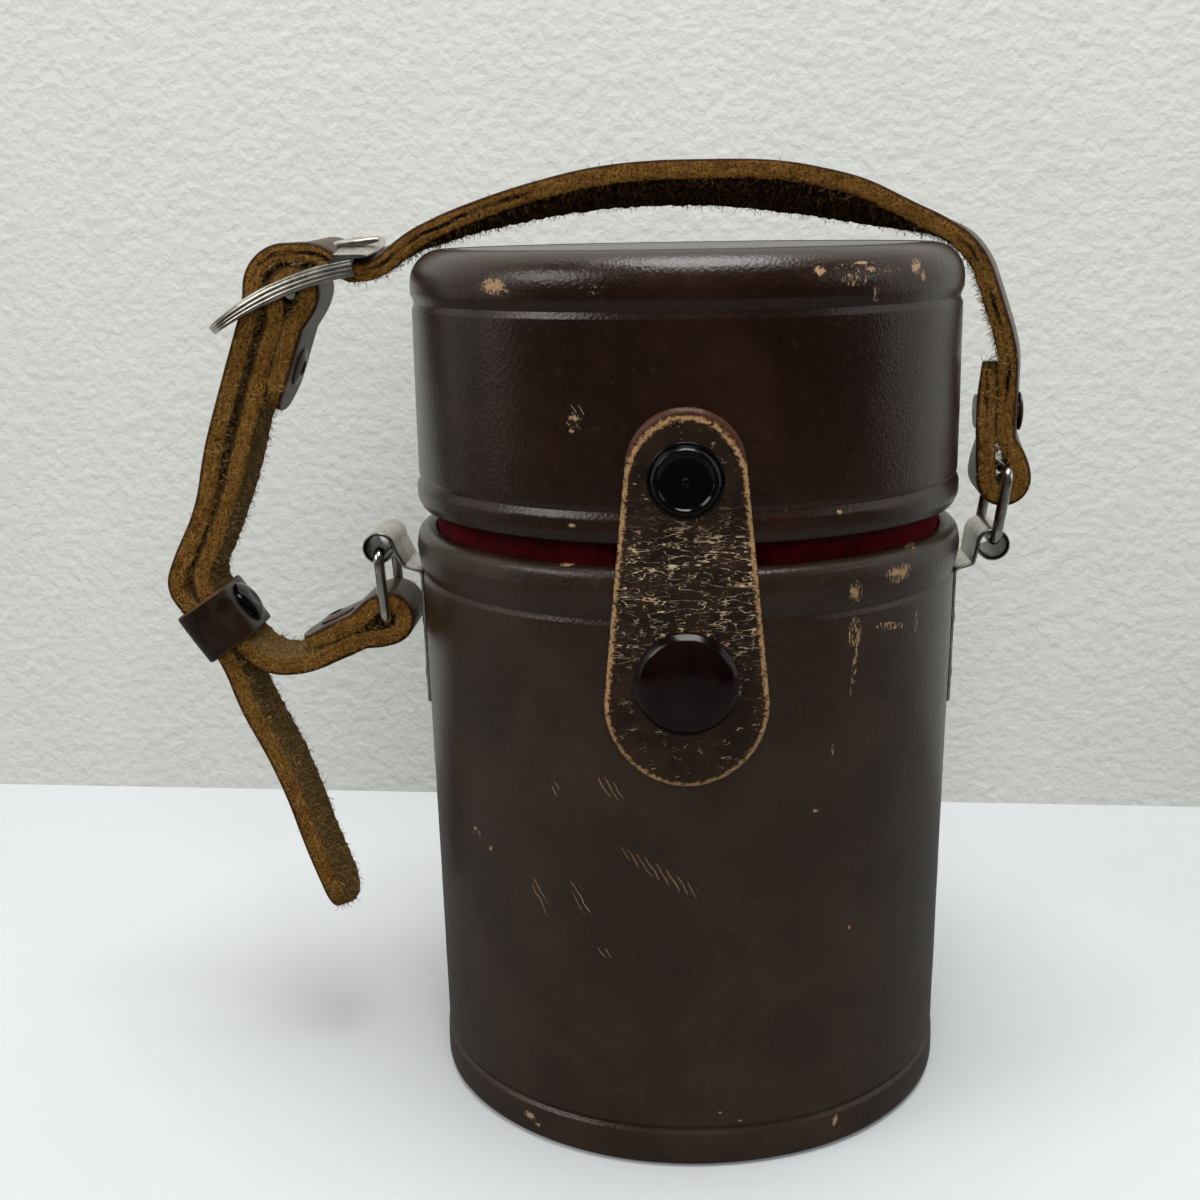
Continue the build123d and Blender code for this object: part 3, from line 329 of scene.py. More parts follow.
# %% Make the tab leather
def tab_leather(name, cracked, spread, bevel):
    """Brown leather with a worn rim. cracked is the height of the worst cracks; above the height
    bevel the cut edge is broad, so the worn line lies further in."""
    skin = Finish(name, specular_ior_level=0.3)
    where = skin.flat()
    rim = skin.value("rim")
    height = skin.flat("Y")
    clouds = skin.noise(5, 3, where, 0.6)
    colour = skin.mix(clouds.step(0.3, 0.7), (0.0105, 0.0048, 0.0024), (0.025, 0.0120, 0.0060))
    bent = skin.stretch(where, (0.30, 1.3, 1.0), 0.05)
    lines = (skin.noise(1.7, 2, bent, 0.5) - 0.5).size().step(0.016, 0.004)
    fine = skin.stretch(where, (0.5, 1.5, 1.0), -0.12)
    hairs = (skin.noise(0.95, 1, fine, 0.5) - 0.5).size().step(0.022, 0.006)
    band = ((height - cracked * MM).size() / (spread * MM)).step(1.0, 0.25)
    patch = skin.noise(2.4, 3, where, 0.6).step(0.42, 0.54)
    cracks = (lines * patch).high(hairs * skin.noise(1.6, 3, where, 0.65).step(0.50, 0.60)) * band
    stray = hairs * skin.noise(2.2, 4, where, 0.75).step(0.54, 0.64) * 0.7
    cracks = cracks.high(stray)
    torn = skin.noise(0.9, 6, where, 0.9) - 0.5
    upper = height.step((bevel - 3.5) * MM, (bevel + 3.5) * MM)
    line = 0.30 * MM + upper * (1.00 * MM)
    near = rim + torn * (3.2 * MM)
    edge = (near - line).size().step(0.46 * MM, 0.20 * MM)
    edge = edge * skin.noise(1.3, 4, where, 0.75).step(0.36, 0.48)
    outside = (line - near).step(0.0, 0.25 * MM)
    worn = skin.mix(skin.noise(0.6, 3, where), (0.26, 0.125, 0.045), (0.58, 0.36, 0.17))
    colour = skin.mix(cracks * 0.95, colour, (0.56, 0.41, 0.25))
    bevelled = skin.mix(clouds, (0.034, 0.009, 0.004), (0.075, 0.026, 0.010))
    colour = skin.mix(outside * (0.25 + upper * 0.6), colour, bevelled)
    colour = skin.mix(edge * 0.9, colour, worn)
    side = skin.value("cut").step(0.35, 0.65)
    raw = skin.mix(skin.noise(0.6, 3), (0.035, 0.012, 0.004), (0.12, 0.05, 0.016))
    colour = skin.mix(side, colour, raw)
    relief = skin.relief(
        (skin.cells(0.45, where), 0.04), (1.0 - cracks, 0.10),
        (skin.noise(1.8, 4, where, 0.65), 0.16))
    rough = 0.36 + clouds * 0.14 + cracks * 0.2 + edge * 0.25 + side * 0.2
    return skin.done(base_color=colour, roughness=rough, normal=relief)


tab_skin = tab_leather("tab_skin", 91.5, 14.0, 110.5)
hinge_skin = tab_leather("hinge_skin", 95.9, 9.0, 200.0)
print("tab leather", len(tab_skin.node_tree.nodes), "nodes")

# %% [markdown]
# ## Strap leather
# The strap is thick hide: a glossy dyed grain on one face, rough suede on the other, and raw
# cut edges that have gone fuzzy. The dye has soaked a little way into the edge from the grain
# side. The mesh carries "depth", 0 at the grain and 1 at the flesh, so one finish can
# shade all of that through the hide's thickness.

# %% Make the strap leather
BUCKLE_BAR = (-62.5, 131.6)
LOOP_MOUTHS = [(51.1, 101.0), (-51.6, 77.6), BUCKLE_BAR]


def arch_underside_painted_shade(across, high):
    """Mask of the carrying arch, whose underside gets painted shade, from x and z in metres."""
    return high.step(0.126, 0.134) * across.size().step(0.052, 0.044)


def strap_leather(name):
    """Thick hide, shaded by its depth under the grain."""
    hide = Finish(
        name, specular_ior_level=0.16, sheen_weight=0.05, sheen_roughness=0.45,
        sheen_tint=(0.75, 0.52, 0.25))
    depth = hide.value("depth")
    where = hide.place()
    along = hide.flat()
    fuzz = hide.noise(0.50, 5, where, 0.8)
    clouds = hide.noise(5.0, 4, where, 0.6)
    streaks = hide.noise(0.9, 4, hide.stretch(along, (0.35, 1.5, 1.0)), 0.7)
    ochre = hide.mix(clouds.step(0.3, 0.7), (0.150, 0.066, 0.011), (0.24, 0.115, 0.022))
    ochre = hide.mix(streaks.step(0.5, 0.66) * 0.7, ochre, (0.38, 0.21, 0.055))
    ochre = hide.mix(fuzz.step(0.53, 0.38) * 0.9, ochre, (0.020, 0.006, 0.0012))
    stains = hide.noise(2.4, 5, where, 0.7)
    ochre = hide.mix(stains.step(0.56, 0.68) * 0.65, ochre, (0.045, 0.016, 0.003))
    suede = hide.mix(fuzz.step(0.35, 0.7), (0.075, 0.043, 0.012), (0.22, 0.14, 0.050))
    across, high = hide.axis(where, "X"), hide.axis(where, "Z")
    # Painted shade: the suede under the carrying arch is darkened.
    under = arch_underside_painted_shade(across, high)
    suede = hide.mix(under, suede, (0.020, 0.009, 0.003))
    # Painted shade: the flesh side darkens in the mouth of each loop round a bar.
    for bar_x, bar_z in LOOP_MOUTHS:
        away = (across - bar_x * MM).size().high((high - bar_z * MM).size())
        suede = hide.mix(away.step(4.6 * MM, 3.0 * MM), suede, (0.007, 0.003, 0.001))
    colour = hide.mix(depth.step(0.94, 0.99), ochre, suede)
    soak = depth + (hide.noise(1.1, 4, where, 0.65) - 0.5) * 0.30
    dyed = hide.mix(clouds, (0.024, 0.0085, 0.002), (0.055, 0.020, 0.005))
    colour = hide.mix(soak.step(0.24, 0.10), colour, dyed)
    # Painted shade: a near-black line along the split between the plies of the cut edge.
    sides = across.step(0.040, 0.046) * high.step(0.108, 0.116)
    sides = sides.high(across.step(-0.018, -0.026) * high.step(0.1335, 0.1365))
    wander = hide.noise(6.0, 3, where, 0.6) * 0.5 + 0.27
    opened = hide.noise(14.0, 2, where).step(0.42, 0.55)
    shaded_slit = (depth - wander).size().step(0.13, 0.06) * sides * opened
    colour = hide.mix(shaded_slit, colour, (0.0035, 0.001, 0.0005))
    top = depth.step(0.09, 0.03)
    creases = hide.stretch(along, (0.35, 1.6, 1.0))
    lines = 1.0 - hide.cells(1.5, creases, "DISTANCE_TO_EDGE").step(0.0, 0.06)
    grain = hide.mix(clouds.step(0.35, 0.7), (0.022, 0.010, 0.0058), (0.055, 0.030, 0.018))
    rubbed = hide.noise(2.2, 5, along, 0.75).step(0.60, 0.72)
    grain = hide.mix(rubbed * 0.5, grain, (0.15, 0.09, 0.05))
    grain = hide.mix(lines * 0.6, grain, (0.012, 0.005, 0.003))
    colour = hide.mix(top, colour, grain)
    rugged = hide.relief((fuzz - shaded_slit * 0.8, 0.45), (hide.noise(1.4, 4, where, 0.7), 0.32))
    sleek = hide.relief((1.0 - lines, 0.07), (hide.cells(0.7, along), 0.04))
    vectors = {"data_type": "VECTOR", "clamp_factor": True}
    relief = hide.node("ShaderNodeMix", vectors, {0: top, 4: rugged, 5: sleek}, out=1)
    rough = 0.94 - top * 0.58 + rubbed * top * 0.2
    return hide.done(base_color=colour, roughness=rough, normal=relief)


def fibre_leather(name):
    """Loose fibres of the raw hide."""
    hair = Finish(name, specular_ior_level=0.15, roughness=0.9)
    tone = hair.noise(2.0, 4, rough=0.7)
    colour = hair.mix(tone.step(0.35, 0.65), (0.17, 0.085, 0.018), (0.46, 0.28, 0.095))
    where = hair.place()
    # Painted shade: the fibres under the carrying arch are darkened.
    under = arch_underside_painted_shade(hair.axis(where, "X"), hair.axis(where, "Z"))
    return hair.done(base_color=hair.mix(under * 0.7, colour, (0.035, 0.016, 0.005)))


strap_hide = strap_leather("strap_hide")
loose_fibres = fibre_leather("loose_fibres")


def polished_leather(name):
    """Dark keeper leather, rubbed to a shine."""
    skin = Finish(name, specular_ior_level=0.28)
    clouds = skin.noise(3.0, 3)
    side = skin.value("cut").step(0.35, 0.65)
    colour = skin.mix(clouds.step(0.3, 0.7), (0.008, 0.0036, 0.0018), (0.022, 0.011, 0.0055))
    scuffs = skin.noise(1.1, 5, rough=0.75).step(0.64, 0.72)
    colour = skin.mix(scuffs * 0.5, colour, (0.14, 0.08, 0.045))
    raw = skin.mix(skin.noise(0.5, 3), (0.03, 0.012, 0.004), (0.12, 0.055, 0.02))
    colour = skin.mix(side, colour, raw)
    relief = skin.relief((skin.cells(0.5), 0.02), (skin.noise(2.0, 3), 0.10))
    return skin.done(base_color=colour, roughness=0.24 + clouds * 0.16 + side * 0.3, normal=relief)


keeper_skin = polished_leather("keeper_skin")
print("strap leather", len(strap_hide.node_tree.nodes), "nodes")

# %% [markdown]
# ## Velvet and fibre
# The lining is a short cotton velvet in deep red. Velvet is dark when looked at straight on
# and brighter at a grazing angle, because the pile stands up. The shader's sheen lobe does
# that. The board under the leather is plain grey-brown fibre.

# %% Make velvet and fibre
def velvet_pile(name):
    """Deep red pile with crushed patches."""
    pile = Finish(name, specular_ior_level=0.1, sheen_weight=0.25, sheen_roughness=0.35,
                  sheen_tint=(0.75, 0.03, 0.05))
    crushed = pile.noise(7.0, 4, rough=0.65, twist=1.0)
    nap = pile.noise(0.28, 3, rough=0.8)
    colour = pile.mix(crushed.step(0.35, 0.65), (0.016, 0.0004, 0.0008), (0.040, 0.0012, 0.0022))
    colour = pile.mix(nap.step(0.55, 0.8) * 0.4, colour, (0.085, 0.003, 0.005))
    relief = pile.relief((nap, 0.18), (crushed, 0.35))
    return pile.done(base_color=colour, roughness=0.85 + nap * 0.15, normal=relief)


def fibre_board(name):
    """Pressed grey-brown board."""
    board = Finish(name, specular_ior_level=0.2)
    flecks = board.noise(0.7, 5, rough=0.7)
    colour = board.mix(flecks, (0.085, 0.060, 0.040), (0.19, 0.14, 0.095))
    colour = board.mix(board.noise(9.0, 3).step(0.45, 0.7) * 0.4, colour, (0.07, 0.05, 0.035))
    relief = board.relief((flecks, 0.12))
    return board.done(base_color=colour, roughness=0.8 + flecks * 0.15, normal=relief)


velvet = velvet_pile("red_velvet")
fibre = fibre_board("fibre_board")

# %% [markdown]
# ## Metals and lacquered caps
# Old nickel plate is not a mirror: it has a warm cast, a fine scratched haze and darker grime
# where fingers do not reach. The caps are lacquered steel, with a hard gloss over a dark coat.

# %% Make the metals
def plated(name, bright, dull, gloss, grime=0.35, tube=None):
    """Worn plate with haze, fine scratches and grime. tube is the (x, z) of a tube, with painted
    shade inside.
    """
    metal = Finish(name, metallic=1.0)
    haze = metal.noise(2.6, 4, rough=0.65)
    hair = metal.noise(1.2, 3, metal.stretch(metal.place(), (0.25, 3.0, 1.0), 0.5), 0.6)
    colour = metal.mix(haze.step(0.3, 0.75), dull, bright)
    dirt = metal.noise(1.5, 5, rough=0.75).step(0.58, 0.74)
    colour = metal.mix(dirt * grime, colour, (0.07, 0.055, 0.04))
    # Painted shade: the inside of the rolled tube is darkened.
    if tube:
        where = metal.place()
        aside = metal.axis(where, "X") - tube[0] * MM
        above = metal.axis(where, "Z") - tube[1] * MM
        start, full = (2.5 * MM) ** 2, (2.25 * MM) ** 2
        inside = (aside * aside + above * above).step(start, full)
        colour = metal.mix(inside, colour, (0.018, 0.014, 0.010))
    relief = metal.relief((hair, 0.015), (haze, 0.03))
    return metal.done(base_color=colour, roughness=gloss + haze * 0.14 + dirt * 0.2, normal=relief)


def lacquer(name, dark, bright, gloss, worn):
    """Hard dark lacquer with dust specks and faint scratches."""
    coat = Finish(name, specular_ior_level=0.3)
    clouds = coat.noise(3.5, 3)
    dust = coat.noise(0.45, 3, rough=0.7).step(0.70, 0.80)
    colour = coat.mix(clouds.step(0.3, 0.7), dark, bright)
    colour = coat.mix(dust * worn, colour, (0.20, 0.16, 0.13))
    scrape = coat.noise(1.6, 5, rough=0.75).step(0.64, 0.72)
    colour = coat.mix(scrape * worn * 0.5, colour, (0.10, 0.05, 0.035))
    rough = gloss + clouds * 0.10 + scrape * 0.12
    return coat.done(base_color=colour, roughness=rough, normal=coat.relief((clouds, 0.03)))


LEFT_OUT, RIGHT_OUT, TUBE_Z = 50.6, 49.5, 90.1
bright, dull = (0.66, 0.63, 0.56), (0.38, 0.35, 0.29)
nickel = plated("worn_nickel", bright, (0.42, 0.39, 0.33), 0.22)
left_nickel = plated("left_lug_nickel", bright, dull, 0.22, 0.45, (-LEFT_OUT, TUBE_Z))
right_nickel = plated("right_lug_nickel", bright, dull, 0.22, 0.45, (RIGHT_OUT, TUBE_Z))
ring_nickel = plated("ring_nickel", (0.80, 0.77, 0.70), (0.55, 0.52, 0.45), 0.13, 0.3)
rivet_black = plated("blackened_steel", (0.055, 0.045, 0.038), (0.022, 0.017, 0.014), 0.34, 0.5)
brass = plated("aged_brass", (0.58, 0.42, 0.18), (0.36, 0.25, 0.10), 0.28, 0.4)
black_cap = lacquer("black_lacquer", (0.0008, 0.0007, 0.0008), (0.0022, 0.0018, 0.0020), 0.07, 0.35)
brown_cap = lacquer("maroon_lacquer", (0.0028, 0.0004, 0.0004), (0.0075, 0.0016, 0.0012), 0.14, 0.2)
brown_rivet = lacquer(
    "brown_rivet_lacquer", (0.022, 0.010, 0.008), (0.055, 0.028, 0.022), 0.20, 0.5)
print("finishes", len(bpy.data.materials))

# %% [markdown]
# ## Building meshes in millimetres
# The CAD is drawn in millimetres, so the shapes here are too, and one helper turns points and
# faces into a finished mesh: doubled points merged, normals outwards, smooth with sharp edges
# kept. A piece can carry values at its points, and its own flat pattern for grain that
# follows the leather. Most pieces are rows of points with quads between the rows.

# %% Turn points into a piece
def make_piece(name, points, faces, finish, flat=None, carried=None, sharp=38):
    """Mesh object at the origin, from points in millimetres. flat has one (u, v) per point."""
    mesh = bpy.data.meshes.new(name)
    mesh.from_pydata([tuple(c * MM for c in p) for p in points], [], faces)
    mesh.materials.append(finish)
    if flat:
        corners = [0] * len(mesh.loops)
        mesh.loops.foreach_get("vertex_index", corners)
        layer = mesh.uv_layers.new(name="flat")
        layer.data.foreach_set("uv", [c * MM for i in corners for c in flat[i]])
    for key, values in (carried or {}).items():
        attribute = mesh.attributes.new(key, "FLOAT", "POINT")
        attribute.data.foreach_set("value", values)
    work = bmesh.new()
    work.from_mesh(mesh)
    bmesh.ops.remove_doubles(work, verts=work.verts, dist=1e-7)
    bmesh.ops.recalc_face_normals(work, faces=work.faces)
    work.to_mesh(mesh)
    work.free()
    mesh.polygons.foreach_set("use_smooth", [True] * len(mesh.polygons))
    mesh.set_sharp_from_angle(angle=math.radians(sharp))
    piece = bpy.data.objects.new(name, mesh)
    bpy.context.collection.objects.link(piece)
    return piece


def seat(piece, body, slot, *nodes):
    """Rides a piece on its body, in place of its CAD nodes."""
    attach(piece, body)
    if nodes:
        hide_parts(*nodes)
    print(piece.name, len(piece.data.polygons), "faces on", body)
    return piece


def quads(rows, ring, closed=False):
    """Faces between rows of points. Every row is a ring, and closed joins the last to the first."""
    faces = []
    for row in range(rows if closed else rows - 1):
        here, after = row * ring, (row + 1) % rows * ring
        for k in range(ring):
            far = (k + 1) % ring
            faces.append((here + k, here + far, after + far, after + k))
    return faces


def ends(rows, ring):
    """Faces that close the first and the last of the rows."""
    return [tuple(range(ring)), tuple(range((rows - 1) * ring, rows * ring))]


# %% [markdown]
# ## Paths with rounded corners
# Wall profiles and strap routes are both lists of corners. A corner may say its own radius;
# otherwise it is as round as its neighbours leave room for. This is the rule the CAD uses, so
# the same corners give the same curve.

# %% Round the corners of a path
def corner_radii(corners):
    """Radius of every inner corner."""
    spots = [Vector(corner[:2]) for corner in corners]
    last = len(spots) - 1
    halves = [0.0] * (last + 1)
    for i in range(1, last):
        turn = (spots[i] - spots[i - 1]).angle(spots[i + 1] - spots[i])
        halves[i] = max(math.tan(turn / 2), 1e-6)
    taken = [c[2] * h if len(c) > 2 else 0.0 for c, h in zip(corners, halves)]
    radii = []
    for i in range(1, last):
        if len(corners[i]) > 2:
            radii.append(corners[i][2])
            continue
        free = []
        for j in (i - 1, i + 1):
            run = (spots[j] - spots[i]).length
            shared = j not in (0, last) and taken[j] == 0
            free.append(run / 2 if shared else run - taken[j])
        radii.append(0.97 * min(free) / halves[i])
    return radii


def rounded(corners, step, fine):
    """Points along a path: step millimetres apart, and fine degrees apart round its corners."""
    spots = [Vector(corner[:2]) for corner in corners]
    radii = [0.0] + corner_radii(corners) + [0.0]
    stops = [(spots[0], spots[0], None, 0.0)]
    for i in range(1, len(spots) - 1):
        before = (spots[i - 1] - spots[i]).normalized()
        after = (spots[i + 1] - spots[i]).normalized()
        turn = math.pi - before.angle(after)
        reach = radii[i] * math.tan(turn / 2)
        middle = spots[i] + (before + after).normalized() * (radii[i] / math.cos(turn / 2))
        stops.append((spots[i] + before * reach, spots[i] + after * reach, middle, turn))
    stops.append((spots[-1], spots[-1], None, 0.0))
    points = []
    for k, (start, end, middle, turn) in enumerate(stops):
        if k:
            gap = start - stops[k - 1][1]
            pieces = max(1, math.ceil(gap.length / step))
            points += [stops[k - 1][1] + gap * (n / pieces) for n in range(pieces)]
        if middle is not None and radii[k] > 0:
            arm = start - middle
            way = 1 if arm.cross(end - middle) > 0 else -1
            bits = max(2, math.ceil(max(turn * radii[k] / step, math.degrees(turn) / fine)))
            for n in range(bits):
                angle = way * turn * n / bits
                c, s = math.cos(angle), math.sin(angle)
                points.append(middle + Vector((arm.x * c - arm.y * s, arm.x * s + arm.y * c)))
    points.append(spots[-1])
    kept = [points[0]]
    for point in points[1:]:
        if (point - kept[-1]).length > 1e-4:
            kept.append(point)
    return kept


def lengths(points):
    """Distance along a path at each of its points."""
    run = [0.0]
    for a, b in zip(points, points[1:]):
        run.append(run[-1] + (b - a).length)
    return run


def headings(points):
    """Way ahead at each point of an open path."""
    last = len(points) - 1
    return [(points[min(k + 1, last)] - points[max(k - 1, 0)]).normalized()
            for k in range(last + 1)]


# %% [markdown]
# ## Round walls
# The body, the lid, the linings and the caps are all turned about an axis, as the real case is
# formed round a mandrel. A closed profile is spun, so each wall has a real inside and outside.
# Real leather is never a perfect cylinder, so a slow noise moves the wall by about a tenth of
# a millimetre.

# %% Spin a profile
def spun(name, profile, finish, sides, wander, front_z=None):
    """Piece of revolution from (radius, height) points. It closes on itself or on the axis.

    The axis is the case's own or, with front_z, points out of the front at that height."""
    points, flat = [], []
    run = lengths(profile)
    wide = max(p[0] for p in profile)
    for n in range(sides + 1):
        angle = 2 * math.pi * n / sides
        c, s = math.cos(angle), math.sin(angle)
        for k, (radius, height) in enumerate(profile):
            if wander and radius > 1:
                ripple = noise.noise(Vector((c * 2.1, s * 2.1, height * 0.035)))
                ripple += 0.35 * noise.noise(Vector((c * 7.0, s * 7.0, height * 0.13)))
                radius += wander * ripple
            if front_z is None:
                points.append((radius * c, radius * s, height))
            else:
                points.append((radius * c, -height, radius * s + front_z))
            flat.append((n / sides * 2 * math.pi * wide, run[k]))
    rows = len(profile)
    on_axis = profile[0][0] < 1e-6 and profile[-1][0] < 1e-6
    faces = []
    for n in range(sides):
        for k in range(rows - 1 if on_axis else rows):
            a, b = n * rows + k, n * rows + (k + 1) % rows
            faces.append((a, a + rows, b + rows, b))
    return make_piece(name, points, faces, finish, flat)


# %% [markdown]
# ## Body skin
# One sheet of leather is wrapped round the fibre tube, rolled over the rim and under the base.
# Cords under the leather raise a bead at each end, and a pressed line sets each bead off. The
# profile below follows the CAD's, with rounder lips and the rim turned in to the velvet.

# %% Wrap the body
body_profile = rounded([
    (38.0, 0.0), (42.6, 0.0, 1.5), (42.62, 3.2, 3.0), (42.55, 5.5, 0.5), (42.0, 6.2, 0.22),
    (42.38, 6.95, 0.4), (43.05, 46.0, 300.0), (43.72, 85.9, 0.4), (43.4, 86.7, 0.25),
    (44.05, 88.1, 1.2), (44.52, 90.9, 2.6), (44.1, 93.6, 1.7), (42.7, 94.32, 1.2),
    (41.15, 94.2, 0.5), (41.1, 92.2), (42.1, 91.4, 0.3), (40.85, 1.4, 0.3), (38.0, 1.4),
], 1.1, 14.0)
body = spun("case_body", body_profile, body_skin, 240, 0.10)
seat(body, "case", "case_leather", "body_leather")

base_profile = rounded([
    (0.0, 0.35), (36.0, 0.3, 6.0), (38.6, 0.0, 1.0), (40.3, 0.25, 0.4), (40.3, 1.35), (0.0, 1.35),
], 1.5, 20.0)
base = spun("base_disc_leather", base_profile, body_skin, 160, 0.03)
seat(base, "case", "panel_leather", "base_leather")

# %% [markdown]
# ## Lid skin and top panel
# The lid is built the same way, over a shallower cup. Its top bead turns through a soft corner
# into a flat rim, and a round panel of leather fills the middle, let into a fine crease.

# %% Wrap the lid
lid_profile = rounded([
    (42.2, 97.6), (43.3, 97.6, 0.8), (44.06, 99.2, 1.6), (44.1, 101.2, 1.4), (43.45, 102.3, 0.25),
    (43.8, 103.0, 0.5), (43.82, 128.9, 0.5), (43.42, 129.9, 0.25), (43.98, 131.4, 1.2),
    (44.1, 138.0, 5.2), (38.75, 138.05, 0.4), (38.6, 136.6), (40.3, 136.6, 3.0),
    (42.2, 132.6, 2.0),
], 1.1, 12.0)
lid = spun("lid_wall", lid_profile, lid_skin, 240, 0.10)
seat(lid, "lid", "case_leather", "lid_leather")

panel_profile = rounded([
    (0.0, 137.55), (33.0, 137.7, 20.0), (38.2, 138.0, 0.7), (38.25, 136.65), (0.0, 136.65),
], 1.5, 15.0)
panel = spun("lid_panel", panel_profile, lid_skin, 160, 0.05)
seat(panel, "lid", "panel_leather", "lid_top_panel")

# %% [markdown]
# ## Velvet lining
# The velvet tube inside the body stands about a centimetre out of it as a collar, and the lid
# slides down over it. The photograph shows it as a dark red band. The lid has its own thin
# velvet lining, and each end has a soft pad. A pad swells between the places where it is
# glued, so it is crowned and pulled in at its edge.

# %% Line the case
lining_profile = rounded([
    (39.6, 4.6), (39.9, 4.6), (40.98, 93.3, 5.0), (40.98, 104.0, 0.75), (39.35, 104.0, 0.75),
    (39.35, 93.3, 5.0), (38.0, 4.6),
], 1.3, 20.0)
lining = spun("velvet_collar", lining_profile, velvet, 200, 0.12)
seat(lining, "case", "velvet", "velvet_lining")

lid_lining_profile = rounded([
    (42.0, 97.95), (42.0, 134.3), (41.5, 134.3), (41.5, 97.95, 0.2),
], 2.0, 20.0)
lid_lining = spun("lid_velvet", lid_lining_profile, velvet, 200, 0.0)
seat(lid_lining, "lid", "velvet", "lid_lining")


def pad(name, radius, under, thick, up, body_name, node):
    """Crowned round pad with a puckered edge. up is 1 for a pad that faces up."""
    points, flat = [], []
    rings, sides, puckers = 26, 144, 24
    for ring in range(rings + 1):
        share = ring / rings
        for n in range(sides):
            angle = 2 * math.pi * n / sides
            c, s = math.cos(angle), math.sin(angle)
            pucker = 0.10 * math.sin(angle * puckers) * share ** 6
            lumps = noise.noise(Vector((c * share * 3, s * share * 3, under)))
            swell = (1 - share ** 7) ** 0.5 * (0.93 + 0.07 * lumps) - pucker
            flat.append((radius * share * c, radius * share * s))
            points.append((*flat[-1], under + up * thick * max(swell, 0.12)))
    points += [(x, y, under) for x, y, z in points[-sides:]]
    flat += [(0.0, 0.0)] * sides
    faces = quads(rings + 2, sides) + ends(rings + 2, sides)[1:]
    piece = make_piece(name, points, faces, velvet, flat)
    seat(piece, body_name, "velvet", node)


pad("floor_pad", 37.9, 4.7, 4.0, 1, "case", "base_pad")
pad("lid_top_pad", 41.1, 134.4, 3.0, -1, "lid", "lid_pad")

# %% [markdown]
# ## Flat leather patches
# The tab in front and the hinge strip behind are flat pieces of leather that follow the round
# wall. Each is laid out flat as rows across its width, then wrapped: a point at x stands off
# the axis by the root of r squared less x squared. The face rolls down to the cut edge, and
# the distance to the outline goes with each point for the worn rim.

# %% Cut and wrap a patch
def leather_patch(name, low, high, half_width, to_edge, inner, outer, side, finish):
    """Curved patch. side is -1 in front and 1 behind; the radii depend on (x, z)."""
    rows, columns = round((high - low) / 0.4), 64
    points, flat, rim, cut = [], [], [], []
    for row in range(rows + 1):
        z = low + (high - low) * (0.5 - 0.5 * math.cos(math.pi * (row / rows)))
        for back in (False, True):
            for column in range(columns + 1):
                share = math.sin((2 * column / columns - 1) * math.pi / 2)
                x = half_width(z) * (-share if back else share)
                edge = max(to_edge(x, z), 0.0)
                roll = 0.55 * max(0.0, 1 - edge / 0.8) ** 2
                ripple = 0.06 * noise.noise(Vector((x * 0.35, z * 0.35, side * 5.0)))
                r = inner(x, z) + 0.5 * roll if back else outer(x, z) - roll + ripple
                points.append((x, side * math.sqrt(r * r - x * x), z))
                flat.append((x, z))
                rim.append(0.02 if back else edge * MM)
                cut.append(1.0 if back else 0.0)
    ring = 2 * (columns + 1)
    faces = quads(rows + 1, ring) + ends(rows + 1, ring)
    return make_piece(name, points, faces, finish, flat, {"rim": rim, "cut": cut}, sharp=50)


# %% [markdown]
# ## The tab
# Its outline is a small round end on the lid and a larger one below, joined by straight sides:
# the hull of two circles. It is riveted to the lid at the top and snaps on the body below. It
# crosses the bend where the lid meets the body, and is one piece.

# %% Cut the tab
TAB_LOW, TAB_HIGH, TAB_BIG, TAB_SMALL = 63.4, 117.2, 11.7, 8.4
TAB_STEP, TAB_BEND = 93.8, 99.2
SNAP_Z, RIVET_Z = 78.8, 107.3
BIG_Z, SMALL_Z = TAB_LOW + TAB_BIG, TAB_HIGH - TAB_SMALL
TAPER = (TAB_BIG - TAB_SMALL) / (SMALL_Z - BIG_Z)


def tab_half(z):
    """Half the tab's width at a height."""
    if z < BIG_Z + TAB_BIG * TAPER:
        return math.sqrt(max(TAB_BIG ** 2 - (z - BIG_Z) ** 2, 1e-4))
    if z > SMALL_Z + TAB_SMALL * TAPER:
        return math.sqrt(max(TAB_SMALL ** 2 - (z - SMALL_Z) ** 2, 1e-4))
    return (TAB_BIG - (z - BIG_Z) * TAPER) / math.sqrt(1 - TAPER ** 2)


def tab_edge(x, z):
    """Distance inwards from the tab's outline."""
    cos = math.sqrt(1 - TAPER ** 2)
    slide = (z - BIG_Z) * cos - abs(x) * TAPER
    if slide < 0:
        return TAB_BIG - math.hypot(x, z - BIG_Z)
    if slide > (SMALL_Z - BIG_Z) * cos:
        return TAB_SMALL - math.hypot(x, z - SMALL_Z)
    return TAB_BIG - (abs(x) * cos + (z - BIG_Z) * TAPER)


def smooth(value):
    """0 below 0, 1 above 1, smooth between."""
    value = min(max(value, 0.0), 1.0)
    return value * value * (3 - 2 * value)


def tab_inner(x, z):
    """Inner face, which steps in above the body's rim."""
    return 44.8 - 0.65 * smooth((z - TAB_STEP) / (TAB_BEND - TAB_STEP))


def tab_outer(x, z):
    """Outer face, pressed in a little round the rivet and the stud."""
    dent = 0.35 * math.exp(-((math.hypot(x, z - RIVET_Z) - 5.6) / 1.3) ** 2)
    dent += 0.22 * math.exp(-((math.hypot(x, z - SNAP_Z) - 8.0) / 1.2) ** 2)
    swell = 0.12 * math.exp(-((z - 93.0) / 5.0) ** 2)
    return tab_inner(x, z) + 2.2 - dent + swell


tab = leather_patch(
    "front_tab", TAB_LOW, TAB_HIGH, tab_half, tab_edge, tab_inner, tab_outer, -1, tab_skin)
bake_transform(tab)
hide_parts("tab_root", "tab_flap")
print("tab", len(tab.data.polygons), "faces")

